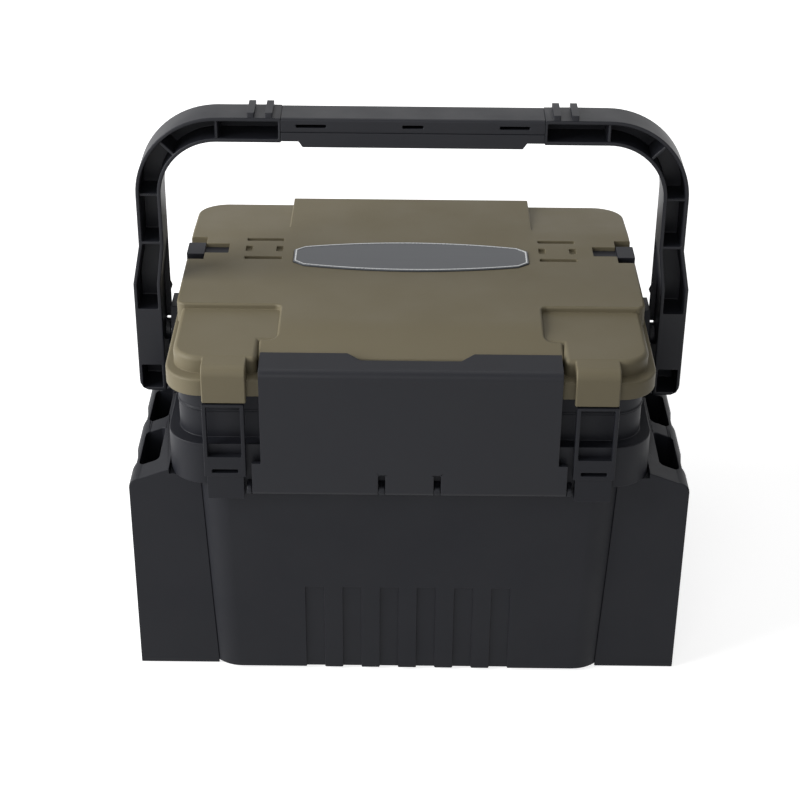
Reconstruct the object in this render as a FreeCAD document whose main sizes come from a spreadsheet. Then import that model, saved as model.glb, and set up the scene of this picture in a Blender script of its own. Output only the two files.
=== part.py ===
import FreeCAD, Part
import math
import os
import Sketcher

# Kayak fishing crate: a black moulded tub with an olive lid, a folding carry handle that
# pivots on two towers, a wide front latch, two front rod sockets and a tool rack on each side.
# Millimetres, X to the right, Y to the back, Z up, origin on the ground under the middle.

SIZES = {
    # Collar and shelf: the widest part of the tub, which the other pieces line up with
    "collar_width": 374,
    "collar_depth": 297,
    "centre_back": 1,
    "collar_bottom": 186,
    "collar_height": 36,
    "collar_corner": 30,
    "collar_skirt": 3,
    "shelf_thick": 3,
    # Tapered tub below the collar
    "tub_bottom": 3,
    "tub_side_step": 18,
    "tub_front_step": 2.5,
    "tub_taper": 5,
    "tub_corner": 28,
    "tub_wall": 3.2,
    "tub_floor": 3.5,
    # Neck that the lid drops over
    "neck_side_step": 8,
    "neck_front_step": 10.5,
    "neck_height": 48,
    "neck_corner": 24,
    "bead_up": 23,
    "bead_thick": 2,
    "bead_proud": 0.7,
    # Six pressed panels low on the front, with skid ribs under the floor between them
    "panel_pitch": 30,
    "panel_width": 15,
    "panel_top": 85,
    "panel_deep": 1.8,
    "skid_width": 12,
    "skid_deep": 1.6,
    "skid_inset": 10,
    # Non-slip feet
    "foot_side_inset": 67,
    "foot_end_inset": 36.5,
    "foot_length": 36,
    "foot_width": 26,
    "foot_chamfer": 2,
    "foot_peg_radius": 5,
    "foot_peg_height": 2,
    "peg_clearance": 0.1,
    # Lid
    "rim_lap": 6,
    "rim_height": 14,
    "rim_corner": 28,
    "lid_wall": 3,
    "lid_low_roof": 12,
    "plateau_height": 18,
    "plateau_inset": 2,
    "corner_step_back": 90.5,
    "centre_inset": 84.5,
    "centre_front_back": 16.5,
    "slope_run": 43.5,
    "slope_drop": 8,
    "ramp_run": 69.5,
    "ramp_drop": 6.5,
    "pillow_drop": 4.5,
    "pillow_inset": 6,
    "pillow_front_back": 10.5,
    "pillow_corner": 22,
    "pillow_round": 6,
    "pillow_cut_inset": 71,
    "pillow_cut_back": 39.5,
    "rear_skirt_lift": 5,
    "strap_width": 33.5,
    "strap_shift": 1.25,
    "strap_proud": 5.5,
    "strap_drop": 3,
    "strap_bend": 6,
    "strap_knee": 7.8,
    "strap_root": 40,
    "strap_crest": 11,
    "strap_foot": 22,
    # Accessory slots on the lid
    "slot_row_y": 45,
    "slot_side_gap": 4,
    "slot_length": 31,
    "slot_spread": 17.5,
    "slot_width": 5,
    "hole_length": 5.5,
    "hole_width": 10,
    "slot_floor": 2,
    # Handle stoppers that slide in the lid
    "stopper_inset": 1,
    "stopper_head_length": 14.5,
    "stopper_head_width": 22,
    "stopper_stem_length": 19.5,
    "stopper_stem_width": 17,
    "stopper_thick": 8,
    "stopper_notch_width": 42,
    "stopper_floor": 2.5,
    "slide_clearance": 0.3,
    # Badge plate
    "badge_y": 30.5,
    "badge_side_gap": 5.5,
    "badge_end_half": 11,
    "badge_end_cut": 9,
    "badge_shoulder_half": 18,
    "badge_arc": 434,
    "badge_thick": 2,
    "badge_sunk": 0.8,
    "badge_clearance": 0.2,
    # Lid hinge along the back
    "hinge_inset": 0.5,
    "hinge_drop": 12,
    "hinge_radius": 6,
    "hinge_pin_radius": 2,
    "hinge_start": 40,
    "hinge_ear": 10,
    "hinge_knuckle": 36,
    "hinge_side_gap": 0.4,
    "hinge_swing_gap": 1,
    "stem_thick": 4.8,
    "stem_root": 18,
    "running_fit": 0.05,
    # Front latch
    "latch_proud": 7.5,
    "latch_thick": 4,
    "latch_inset": 73,
    "latch_foot_wider": 7,
    "latch_foot_height": 25,
    "latch_axis_drop": 2,
    "latch_barrel": 4,
    "latch_top_drop": 7,
    "latch_lip_over": 2,
    "latch_lip_rise": 3.2,
    "latch_lip_thick": 2.6,
    "latch_finger_half": 48,
    "latch_finger_cut": 9,
    "latch_finger_step": 10,
    "latch_slot_x": 21.4,
    "latch_slot_gap": 0.3,
    "latch_slot_up": 15.5,
    "latch_slot_round": 2,
    "latch_lug_width": 5,
    "latch_end_lug": 3.6,
    "latch_end_gap": 0.6,
    "latch_pin_radius": 1.6,
    "latch_relief": 4,
    "latch_crown": 6,
    "latch_bend": 7,
    # Rod sockets beside the latch
    "socket_gap": 4.5,
    "socket_width": 32,
    "socket_proud": 6.5,
    "socket_bottom_up": 10.5,
    "socket_strap_gap": 1,
    "window_side": 3,
    "window_sill": 8,
    "window_head": 2,
    "snap_slot_half": 10,
    "snap_slot_height": 3.2,
    "snap_slot_up": 3.3,
    "socket_foot_side": 1.75,
    "socket_foot_drop": 10,
    "seat_gap": 0.3,
    # Side racks
    "rack_proud": 33,
    "rack_front_back": 14.5,
    "rack_rear_inset": 2.5,
    "rack_bottom": 1,
    "rack_gap": 0.6,
    "rack_crest_up": 4,
    "rack_slope_drop": 9,
    "rack_round": 9,
    "rack_floor": 3,
    "bay_side": 11,
    "bay_width": 16,
    "bay_front_end": 21,
    "bay_back_end": 8,
    "bay_bar": 17,
    "bay_corner": 4,
    "scallop_deep": 3,
    "scallop_behind": 6,
    "scallop_floor": 8,
    "scallop_lead": 5,
    "scallop_fade": 22,
    "hollow_wall": 3,
    "hollow_roof": 4,
    # Screws that hold the racks and the handle towers
    "screw_radius": 2,
    "screw_gap": 0.2,
    "screw_head_radius": 4,
    "screw_head_thick": 2.4,
    "rack_screw_low": 45,
    "rack_screw_high": 150,
    "tower_screw_y": 17,
    "tower_screw_down": 15,
    # Handle towers and pivots
    "pivot_y": 5,
    "pivot_up": 19,
    "tower_gap": 1,
    "tower_thick": 8,
    "tower_half": 25,
    "tower_lap": 29,
    "tower_rise": 4,
    "pivot_radius": 4,
    "pivot_head_radius": 9,
    "pivot_head_thick": 2.4,
    "washer_radius": 9,
    "washer_thick": 1,
    "clip_radius": 7,
    "clip_thick": 1.2,
    "clip_end_gap": 2,
    # Handle
    "arm_gap": 0.5,
    "arm_jog": 6.5,
    "arm_wall_step": 4.5,
    "arm_bottom": 47,
    "arm_end_round": 10,
    "arm_jog_low": 51,
    "arm_jog_high": 85,
    "arch_up": 129,
    "arch_outer_round": 65.5,
    "bar_thick": 20,
    "handle_front": 22,
    "handle_back": 8,
    "handle_wall": 3,
    "handle_rib": 2.5,
    "rib_up": 88,
    "rib_bar_gap": 2,
    "boss_low": 23,
    "boss_high": 29,
    "hook_up": 37,
    "hook_height": 8,
    "hook_proud": 1.6,
    "band_gap": 16,
    "band_spread": 7,
    "band_width": 5.5,
    "band_proud": 4,
    # Grip shells round the bar
    "grip_half": 102,
    "grip_low_cut": 13.5,
    "grip_shell": 3,
    "grip_thick": 23.5,
    "grip_split": 11.5,
    "grip_fit": 0.1,
    "grip_slot_long": 23,
    "grip_slot_x": 78.5,
    "grip_slot_short": 16,
    "grip_slot_drop": 7.5,
    "grip_slot_height": 2.5,
    # Lift-out tray
    "tray_gap": 1.2,
    "tray_wall": 2.2,
    "tray_flange": 3,
    "tray_depth": 50,
    "tray_seat": 0.3,
    "tray_corner": 18,
    "divider_thick": 2,
    "divider_drop": 6,
    "divider_gap": 0.25,
    "divider_groove": 1.2,
    "finger_hole_half": 30,
    "finger_hole_low": 22,
    "finger_hole_high": 8,
}

doc = FreeCAD.newDocument("fishing_crate")
sheet = doc.addObject("Spreadsheet::Sheet", "sizes")


class Size:
    """A length, with the sheet expression that gives it."""

    def __init__(self, value, text):
        self.value = value
        self.text = text

    def __add__(self, other):
        other = size(other)
        return Size(self.value + other.value, f"({self.text} + {other.text})")

    def __sub__(self, other):
        other = size(other)
        return Size(self.value - other.value, f"({self.text} - {other.text})")

    def __mul__(self, other):
        other = size(other)
        return Size(self.value * other.value, f"({self.text} * {other.text})")

    def __truediv__(self, other):
        other = size(other)
        return Size(self.value / other.value, f"({self.text} / {other.text})")

    def __radd__(self, other):
        return size(other) + self

    def __rsub__(self, other):
        return size(other) - self

    def __rmul__(self, other):
        return size(other) * self

    def __neg__(self):
        return size(0) - self


def size(value):
    """A plain number as a Size, or the Size itself."""
    return value if isinstance(value, Size) else Size(float(value), repr(float(value)))


def slope_angle(rise, run):
    """The angle in degrees whose tangent is rise over run."""
    ratio = rise / run
    return Size(math.degrees(math.atan(ratio.value)), f"atan({ratio.text})")


class Named:
    """The sheet's values, each one by its name."""


def fill_sheet():
    """Writes the driving sizes into the sheet and returns them by name."""
    named = Named()
    for row, (name, value) in enumerate(SIZES.items(), 1):
        sheet.set(f"A{row}", name)
        sheet.set(f"B{row}", str(value))
        sheet.setAlias(f"B{row}", name)
        setattr(named, name, Size(float(value), f"sizes.{name}"))
    doc.recompute()
    return named


S = fill_sheet()

# How many of what repeats
BAYS = 4
PANELS = 6
SKIDS = PANELS - 1

# Places that several pieces share, from the ground up
COLLAR_HALF = S.collar_width / 2
COLLAR_FRONT = S.centre_back - S.collar_depth / 2
COLLAR_BACK = S.centre_back + S.collar_depth / 2
SHELF = S.collar_bottom + S.collar_height
NECK_TOP = SHELF + S.neck_height
RIM_BOTTOM = NECK_TOP - S.rim_lap
RIM_TOP = RIM_BOTTOM + S.rim_height
LID_TOP = RIM_TOP + S.plateau_height
CEILING = LID_TOP - S.lid_wall
LOW_ROOF = LID_TOP - S.lid_low_roof
# Widths and depths of the tub's stages
TUB_WIDTH = S.collar_width - 2 * S.tub_side_step
TUB_DEPTH = S.collar_depth - 2 * S.tub_front_step
NECK_WIDTH = S.collar_width - 2 * S.neck_side_step
NECK_DEPTH = S.collar_depth - 2 * S.neck_front_step
# Lid
CENTRE_HALF = COLLAR_HALF - S.centre_inset
PLATEAU_HALF = COLLAR_HALF - S.plateau_inset
PILLOW_HALF = COLLAR_HALF - S.pillow_inset
CORNER_STEP = COLLAR_FRONT + S.corner_step_back
CENTRE_FRONT = COLLAR_FRONT + S.centre_front_back
PILLOW_FRONT = COLLAR_FRONT + S.pillow_front_back
PILLOW_CUT_HALF = COLLAR_HALF - S.pillow_cut_inset
PILLOW_CUT_Y = COLLAR_FRONT + S.pillow_cut_back
SLOPE_START = CENTRE_FRONT + S.slope_run
RAMP_START = COLLAR_BACK - S.ramp_run
PILLOW_TOP = LID_TOP - S.pillow_drop
HINGE_Y = COLLAR_BACK - S.hinge_inset
HINGE_Z = LID_TOP - S.hinge_drop
HINGE_END = S.hinge_start + 2 * S.hinge_ear + S.hinge_knuckle
STOPPER_END = COLLAR_HALF - S.stopper_inset
STOPPER_NECK = STOPPER_END - S.stopper_head_length
STOPPER_START = STOPPER_NECK - S.stopper_stem_length
STOPPER_BOTTOM = LID_TOP - S.stopper_thick
# Front
LATCH_FRONT = COLLAR_FRONT - S.latch_proud
LATCH_BACK = LATCH_FRONT + S.latch_thick
LATCH_HALF = COLLAR_HALF - S.latch_inset
LATCH_FOOT_HALF = LATCH_HALF + S.latch_foot_wider
LATCH_AXIS_Y = LATCH_FRONT + S.latch_barrel
LATCH_AXIS_Z = S.collar_bottom - S.latch_axis_drop
LATCH_TOP = LID_TOP - S.latch_top_drop
LIP_BACK = CENTRE_FRONT + S.latch_lip_over
SOCKET_INNER = LATCH_FOOT_HALF + S.socket_gap
SOCKET_OUTER = SOCKET_INNER + S.socket_width
SOCKET_FRONT = COLLAR_FRONT - S.socket_proud
SOCKET_BOTTOM = S.collar_bottom + S.socket_bottom_up
SOCKET_TOP = RIM_BOTTOM - S.strap_drop - S.socket_strap_gap
STRAP_MIDDLE = (SOCKET_INNER + SOCKET_OUTER) / 2 - S.strap_shift
STRAP_BOTTOM = RIM_BOTTOM - S.strap_drop
STRAP_FRONT = COLLAR_FRONT - S.strap_proud
# Sides
RACK_INNER = COLLAR_HALF + S.rack_gap
RACK_OUTER = COLLAR_HALF + S.rack_proud
RACK_FRONT = COLLAR_FRONT + S.rack_front_back
RACK_BACK = COLLAR_BACK - S.rack_rear_inset
RACK_CREST = S.collar_bottom + S.rack_crest_up
BAY_PITCH = (RACK_BACK - RACK_FRONT - S.bay_front_end - S.bay_back_end + S.bay_bar) / BAYS
BAY_INNER = COLLAR_HALF + S.bay_side
TOWER_INNER = COLLAR_HALF + S.tower_gap
TOWER_OUTER = TOWER_INNER + S.tower_thick
PIVOT_Z = SHELF + S.pivot_up
HOLLOW_INNER = TUB_WIDTH / 2 + S.hollow_wall
# Handle
HANDLE_FRONT = S.pivot_y - S.handle_front
HANDLE_BACK = S.pivot_y + S.handle_back
WEB_INNER = TOWER_OUTER + S.washer_thick + S.arm_gap
ARM_HIGH_OUTER = WEB_INNER + S.bar_thick
ARM_LOW_INNER = WEB_INNER + S.arm_wall_step
ARM_LOW_OUTER = ARM_HIGH_OUTER + S.arm_jog
ARCH_START = PIVOT_Z + S.arch_up
BAR_TOP = ARCH_START + S.arch_outer_round
BAR_BOTTOM = BAR_TOP - S.bar_thick
BAR_HALF = ARM_HIGH_OUTER - S.arch_outer_round
ARM_BOTTOM = PIVOT_Z - S.arm_bottom
JOG_LOW = PIVOT_Z + S.arm_jog_low
JOG_HIGH = PIVOT_Z + S.arm_jog_high
ARCH_INNER_ROUND = S.arch_outer_round - S.bar_thick
GRIP_BOTTOM = BAR_TOP - S.grip_thick
GRIP_SPLIT = BAR_TOP - S.grip_split


class Outline:
    """A closed sketch loop of straight runs and arcs through stated points."""

    def __init__(self, x, y):
        self.points = [(size(x), size(y))]
        self.steps = []

    def line(self, x, y):
        self.points.append((size(x), size(y)))
        self.steps.append(None)
        return self

    def arc(self, x, y, radius, left=True):
        self.points.append((size(x), size(y)))
        self.steps.append((size(radius), left))
        return self

    def arc_to_start(self, radius):
        self.steps.append((size(radius), True))
        return self

    def flip(self, side):
        """The same outline on the right side, or mirrored to the left."""
        if side > 0:
            return self
        mirrored = Outline(-self.points[0][0], self.points[0][1])
        mirrored.points = [(-x, y) for x, y in self.points]
        mirrored.steps = [step and (step[0], not step[1]) for step in self.steps]
        return mirrored

    def draw(self, first):
        """The loop's curves and the rules that tie them, numbered from a first curve."""
        count = len(self.points)
        steps = self.steps + [None] * (count - len(self.steps))
        curves, ends = [], []
        for number, step in enumerate(steps):
            start = vector(self.points[number])
            stop = vector(self.points[(number + 1) % count])
            if step is None:
                curves.append(Part.LineSegment(start, stop))
                ends.append((1, 2))
            else:
                curves.append(arc_between(start, stop, step[0].value, step[1]))
                ends.append((1, 2) if step[1] else (2, 1))
        rules = []
        for number, (x, y) in enumerate(self.points):
            after = (number + 1) % count
            joint = (first + number, ends[number][1], first + after, ends[after][0])
            rules.append((("Coincident",) + joint, None))
            rules.append((("DistanceX", -1, 1, first + number, ends[number][0]), x))
            rules.append((("DistanceY", -1, 1, first + number, ends[number][0]), y))
        for number, step in enumerate(steps):
            if step:
                rules.append((("Radius", first + number), step[0]))
        return curves, rules


class Ring:
    """A full circle in a sketch."""

    def __init__(self, x, y, radius):
        self.x, self.y, self.radius = size(x), size(y), size(radius)

    def draw(self, first):
        """The circle and the rules that tie it."""
        centre = vector((self.x, self.y))
        circle = Part.Circle(centre, FreeCAD.Vector(0, 0, 1), self.radius.value)
        rules = [
            (("DistanceX", -1, 1, first, 3), self.x),
            (("DistanceY", -1, 1, first, 3), self.y),
            (("Radius", first), self.radius),
        ]
        return [circle], rules


def vector(point):
    return FreeCAD.Vector(point[0].value, point[1].value, 0)


def fill_sketch(sketch, outlines):
    """Puts outlines into a sketch, with each dimension bound to the sheet."""
    curves, rules = [], []
    for outline in outlines:
        new_curves, new_rules = outline.draw(len(curves))
        curves += new_curves
        rules += new_rules
    sketch.addGeometry(curves, False)
    values = [(value.value,) if value else () for _, value in rules]
    sketch.addConstraint([Sketcher.Constraint(*rule, *v) for (rule, _), v in zip(rules, values)])
    for number, (_, value) in enumerate(rules):
        if value:
            sketch.setExpression(f"Constraints[{number}]", value.text)


def arc_between(start, stop, radius, left):
    """The arc of under half a turn from start to stop, turning left or right."""
    chord = stop - start
    middle = (start + stop) / 2
    side = FreeCAD.Vector(-chord.y, chord.x, 0)
    side.normalize()
    reach = math.sqrt(max(radius**2 - (chord.Length / 2) ** 2, 0))
    centre = middle + side * (reach if left else -reach)
    low, high = (start, stop) if left else (stop, start)
    circle = Part.Circle(centre, FreeCAD.Vector(0, 0, 1), radius)
    turn = [math.atan2(p.y - centre.y, p.x - centre.x) for p in (low, high)]
    return Part.ArcOfCircle(circle, turn[0], turn[1] + (2 * math.pi if turn[1] < turn[0] else 0))


def box_outline(x0, x1, y0, y1):
    """A rectangle's outline."""
    return Outline(x0, y0).line(x1, y0).line(x1, y1).line(x0, y1)


def round_outline(x0, x1, y0, y1, radius):
    """A rectangle's outline with its four corners rounded."""
    x0, x1, y0, y1, r = size(x0), size(x1), size(y0), size(y1), size(radius)
    return (
        Outline(x0 + r, y0)
        .line(x1 - r, y0)
        .arc(x1, y0 + r, r)
        .line(x1, y1 - r)
        .arc(x1 - r, y1, r)
        .line(x0 + r, y1)
        .arc(x0, y1 - r, r)
        .line(x0, y0 + r)
        .arc_to_start(r)
    )


def centred_outline(width, depth, radius):
    """A rounded rectangle about the crate's middle."""
    return round_outline(
        -width / 2, width / 2, S.centre_back - depth / 2, S.centre_back + depth / 2, radius
    )


PLANES = {"Z": ("XY_Plane", 1), "Y": ("XZ_Plane", -1), "X": ("YZ_Plane", 1)}


class Moulding:
    """One sub-part: a PartDesign body with short calls for its features."""

    def __init__(self, label):
        self.body = doc.addObject("PartDesign::Body", label)
        self.body.Label = label
        self.count = 0

    def name(self, kind):
        self.count += 1
        return f"{self.body.Name}_{kind}{self.count}"

    def sketch(self, axis, place, outlines, tilt=None):
        """A sketch square to an axis at a place along it, tilted about its own X if asked."""
        role, sign = PLANES[axis]
        plane = [f for f in self.body.Origin.OriginFeatures if f.Role == role][0]
        sketch = self.body.newObject("Sketcher::SketchObject", self.name("sketch"))
        sketch.AttachmentSupport = (plane, [""])
        sketch.MapMode = "FlatFace"
        sketch.setExpression("AttachmentOffset.Base.z", (size(place) * sign).text)
        if tilt:
            sketch.AttachmentOffset = FreeCAD.Placement(
                FreeCAD.Vector(0, 0, 0), FreeCAD.Rotation(FreeCAD.Vector(1, 0, 0), tilt.value)
            )
            sketch.setExpression("AttachmentOffset.Rotation.Angle", tilt.text)
        fill_sketch(sketch, outlines)
        return sketch

    def add(self, axis, low, high, *outlines):
        """Pads outlines from low to high along an axis."""
        low, high = size(low), size(high)
        start = low if PLANES[axis][1] > 0 else high
        sketch = self.sketch(axis, start, outlines)
        return self.finish("PartDesign::Pad", sketch, "Length", high - low, 1)

    def remove(self, axis, low, high, *outlines):
        """Pockets outlines from low to high along an axis."""
        low, high = size(low), size(high)
        start = high if PLANES[axis][1] > 0 else low
        sketch = self.sketch(axis, start, outlines)
        return self.finish("PartDesign::Pocket", sketch, "Length", high - low, -1)

    def finish(self, kind, sketch, prop, value, sign):
        """Adds a feature on a sketch, and checks that it changed the volume the right way."""
        before = self.volume()
        feature = self.body.newObject(kind, self.name("feature"))
        feature.Profile = sketch
        feature.setExpression(prop, value.text)
        sketch.Visibility = False
        doc.recompute()
        if (self.volume() - before) * sign <= 0:
            raise ValueError(f"{feature.Name} changed nothing")
        return feature

    def volume(self):
        shape = self.body.Shape
        return 0 if shape.isNull() else shape.Volume

    def loft(self, sections, hollow=False):
        """A loft through (height, outline) sections, added or cut away."""
        before = self.volume()
        sketches = [self.sketch("Z", height, [outline]) for height, outline in sections]
        kind = "PartDesign::SubtractiveLoft" if hollow else "PartDesign::AdditiveLoft"
        feature = self.body.newObject(kind, self.name("loft"))
        feature.Profile = sketches[0]
        feature.Sections = sketches[1:]
        feature.Ruled = True
        doc.recompute()
        if (self.volume() - before) * (-1 if hollow else 1) <= 0:
            raise ValueError(f"{feature.Name} changed nothing")
        return feature

    def round_edges(self, radius, wanted):
        """Fillets the edges of the shape so far that a test picks."""
        return self.dress("PartDesign::Fillet", "Radius", radius, wanted)

    def bevel_edges(self, cut, wanted):
        """Chamfers the edges of the shape so far that a test picks."""
        return self.dress("PartDesign::Chamfer", "Size", cut, wanted)

    def dress(self, kind, prop, value, wanted):
        edges = self.body.Shape.Edges
        picked = [f"Edge{n}" for n, edge in enumerate(edges, 1) if wanted(edge)]
        if not picked:
            raise ValueError(f"{self.body.Label}: no edge to dress")
        tip = self.body.Tip
        feature = self.body.newObject(kind, self.name("dress"))
        feature.Base = (tip, picked)
        feature.setExpression(prop, size(value).text)
        doc.recompute()
        return feature


def near(value, target, reach=0.05):
    return abs(value - size(target).value) < reach


def flat_edge(edge, z):
    """Does an edge lie level at a height?"""
    box = edge.BoundBox
    return near(box.ZMin, z) and near(box.ZMax, z)


def along(edge, axis):
    """Does an edge run straight along an axis?"""
    box = edge.BoundBox
    spans = {"X": box.XLength, "Y": box.YLength, "Z": box.ZLength}
    others = [span for name, span in spans.items() if name != axis]
    return spans[axis] > 0.5 and max(others) < 0.01


def place(piece, x, y, z):
    """Binds where a primitive stands."""
    for axis, value in zip("xyz", (x, y, z)):
        piece.setExpression(f"Placement.Base.{axis}", size(value).text)


def rod(name, x0, x1, y, z, radius):
    """A cylinder along X from x0 to x1, in either order."""
    x0, x1 = size(x0), size(x1)
    start, stop = (x0, x1) if x0.value < x1.value else (x1, x0)
    piece = doc.addObject("Part::Cylinder", name)
    turn = FreeCAD.Rotation(FreeCAD.Vector(0, 1, 0), 90)
    piece.Placement = FreeCAD.Placement(FreeCAD.Vector(0, 0, 0), turn)
    piece.setExpression("Radius", size(radius).text)
    piece.setExpression("Height", (stop - start).text)
    place(piece, start, y, z)
    return piece


def block(name, x0, x1, y0, y1, z0, z1):
    """A box between stated faces, with x0 and x1 in either order."""
    x0, x1, y0, y1, z0, z1 = (size(v) for v in (x0, x1, y0, y1, z0, z1))
    low, high = (x0, x1) if x0.value < x1.value else (x1, x0)
    piece = doc.addObject("Part::Box", name)
    piece.setExpression("Length", (high - low).text)
    piece.setExpression("Width", (y1 - y0).text)
    piece.setExpression("Height", (z1 - z0).text)
    place(piece, low, y0, z0)
    return piece


def joined(name, pieces):
    """Pieces fused into one."""
    fuse = doc.addObject("Part::MultiFuse", name)
    fuse.Shapes = pieces
    return fuse


def carved(name, base, tool):
    """A piece with another cut out of it."""
    cut = doc.addObject("Part::Cut", name)
    cut.Base, cut.Tool = base, tool
    return cut


def group(label, pieces):
    """Separate solids that share one node."""
    compound = doc.addObject("Part::Compound", label)
    compound.Links = pieces
    return labelled(label, compound)


def labelled(label, piece):
    piece.Label = label
    return piece


def side_span(side, x0, x1):
    """The low and high end along X of what runs from x0 to x1 on a side."""
    return (size(x0), size(x1)) if side > 0 else (-size(x1), -size(x0))


def side_name(side):
    return "right" if side > 0 else "left"


SIDES = (-1, 1)


def tub_section(grow, high):
    """The tub's outer outline at its foot or at the shelf, grown all round."""
    taper = size(0) if high else 2 * S.tub_taper
    return centred_outline(
        TUB_WIDTH - taper + 2 * grow, TUB_DEPTH - taper + 2 * grow, S.tub_corner + grow
    )


def wall_half(z):
    """Half the tub's outer width at a height below the shelf."""
    rise = (size(z) - S.tub_bottom) / (SHELF - S.tub_bottom)
    return TUB_WIDTH / 2 - S.tub_taper + S.tub_taper * rise


def rack_screw_spots():
    """Where the rack screws stand along Y and Z: the middles of the first and last bay."""
    first = RACK_FRONT + S.bay_front_end + BAY_PITCH / 2 - S.bay_bar / 2
    last = first + BAY_PITCH * (BAYS - 1)
    return [(y, z) for y in (first, last) for z in (S.rack_screw_low, S.rack_screw_high)]


def tower_screw_spots():
    """Where the tower screws stand along Y and Z."""
    z = SHELF - S.tower_screw_down
    return [(S.pivot_y - S.tower_screw_y, z), (S.pivot_y + S.tower_screw_y, z)]


def crate_body():
    """The black tub: tapered walls, hollow collar, shelf, neck, hinge ears and latch lugs."""
    tub = Moulding("crate_body")
    tub.loft([(S.tub_bottom, tub_section(0, False)), (SHELF, tub_section(0, True))])
    collar = centred_outline(S.collar_width, S.collar_depth, S.collar_corner)
    tub.add("Z", S.collar_bottom, SHELF, collar)
    tub.add("Z", SHELF, NECK_TOP, centred_outline(NECK_WIDTH, NECK_DEPTH, S.neck_corner))
    bead_width = NECK_WIDTH + 2 * S.bead_proud
    bead_depth = NECK_DEPTH + 2 * S.bead_proud
    bead = centred_outline(bead_width, bead_depth, S.neck_corner + S.bead_proud)
    tub.add("Z", SHELF + S.bead_up, SHELF + S.bead_up + S.bead_thick, bead)
    hollow_tub(tub)
    press_front_panels(tub)
    add_skids(tub)
    add_hinge_ears(tub)
    add_latch_lugs(tub)
    drill_tub(tub)
    return tub.body


def hollow_tub(tub):
    """Cavity with its shelf, neck opening, and the channels under the collar's sides."""
    wall = S.tub_wall
    floor = S.tub_bottom + S.tub_floor
    shelf_under = SHELF - S.shelf_thick
    low, high = tub_section(-wall, False), tub_section(-wall, True)
    tub.loft([(floor, low), (shelf_under, high)], hollow=True)
    opening = centred_outline(TUB_WIDTH - 2 * wall, NECK_DEPTH - 2 * wall, S.neck_corner - wall)
    tub.remove("Z", shelf_under, SHELF, opening)
    neck = centred_outline(NECK_WIDTH - 2 * wall, NECK_DEPTH - 2 * wall, S.neck_corner - wall)
    tub.remove("Z", SHELF, NECK_TOP, neck)
    front = COLLAR_FRONT + S.collar_corner
    back = COLLAR_BACK - S.collar_corner
    channel = box_outline(TUB_WIDTH / 2, COLLAR_HALF - S.collar_skirt, front, back)
    for side in SIDES:
        tub.remove("Z", S.collar_bottom, shelf_under, channel.flip(side))


def press_front_panels(tub):
    """Six shallow panels low on the front wall, parallel to its draft."""
    draft = slope_angle(S.tub_taper, SHELF - S.tub_bottom)
    front = COLLAR_FRONT + S.tub_front_step + S.tub_taper
    panels = []
    half = S.panel_width / 2
    for number in range(PANELS):
        x = S.panel_pitch * (number - (PANELS - 1) / 2)
        panels.append(box_outline(x - half, x + half, 0, S.panel_top))
    sketch = tub.sketch("Y", front, panels, draft)
    tub.finish("PartDesign::Pocket", sketch, "Length", S.panel_deep, -1)


def add_skids(tub):
    """Ribs under the floor, between the front panels."""
    reach = TUB_DEPTH / 2 - S.tub_taper - S.skid_inset
    half = S.skid_width / 2
    skids = []
    for number in range(SKIDS):
        x = S.panel_pitch * (number - (SKIDS - 1) / 2)
        skids.append(box_outline(x - half, x + half, S.centre_back - reach, S.centre_back + reach))
    tub.add("Z", S.tub_bottom - S.skid_deep, S.tub_bottom, *skids)


def ear_spans():
    """The low and high X of each hinge ear."""
    near_ear = S.hinge_start, S.hinge_start + S.hinge_ear
    far_ear = HINGE_END - S.hinge_ear, HINGE_END
    return [side_span(side, *ear) for side in SIDES for ear in (near_ear, far_ear)]


def add_hinge_ears(tub):
    """Four ears on stems behind the lid, bored for the two hinge pins."""
    outer = HINGE_Y + S.hinge_radius
    inner = outer - S.stem_thick
    root = COLLAR_BACK - S.collar_skirt / 2
    foot = SHELF - S.stem_root
    for low, high in ear_spans():
        stem = Outline(root, foot).line(outer, foot + S.stem_thick).line(outer, HINGE_Z)
        stem.line(inner, HINGE_Z).line(inner, SHELF).line(root, SHELF)
        tub.add("X", low, high, stem)
        tub.add("X", low, high, Ring(HINGE_Y, HINGE_Z, S.hinge_radius))
    bore = Ring(HINGE_Y, HINGE_Z, S.hinge_pin_radius)
    tub.remove("X", -HINGE_END, HINGE_END, bore)


def lug_spans():
    """The low and high X of each latch lug: two that show through the latch, one at each end."""
    half = S.latch_lug_width / 2
    middle = S.latch_slot_x - half, S.latch_slot_x + half
    start = LATCH_FOOT_HALF + S.latch_end_gap
    end = start, start + S.latch_end_lug
    return [side_span(side, *lug) for side in SIDES for lug in (middle, end)]


def add_latch_lugs(tub):
    """Lugs for the latch pin, under a relief in the collar's lower edge."""
    wall = COLLAR_FRONT + S.tub_front_step + S.tub_wall / 2
    relief_back = COLLAR_FRONT + S.tub_front_step + S.seat_gap
    half = LATCH_FOOT_HALF + S.latch_end_gap + S.latch_end_lug
    top = S.collar_bottom + S.latch_relief
    relief = box_outline(-half, half, COLLAR_FRONT - 1, relief_back)
    tub.remove("Z", S.collar_bottom, top, relief)
    for low, high in lug_spans():
        arm = Outline(LATCH_AXIS_Y, LATCH_AXIS_Z - S.latch_barrel)
        arm.line(wall + S.tub_taper / 4, LATCH_AXIS_Z - 2 * S.latch_barrel)
        arm.line(wall, top).line(relief_back - 1, top)
        arm.line(LATCH_AXIS_Y, LATCH_AXIS_Z + S.latch_barrel)
        tub.add("X", low, high, arm)
        tub.add("X", low, high, Ring(LATCH_AXIS_Y, LATCH_AXIS_Z, S.latch_barrel))
    tub.remove("X", -half, half, Ring(LATCH_AXIS_Y, LATCH_AXIS_Z, S.latch_pin_radius))


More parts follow.
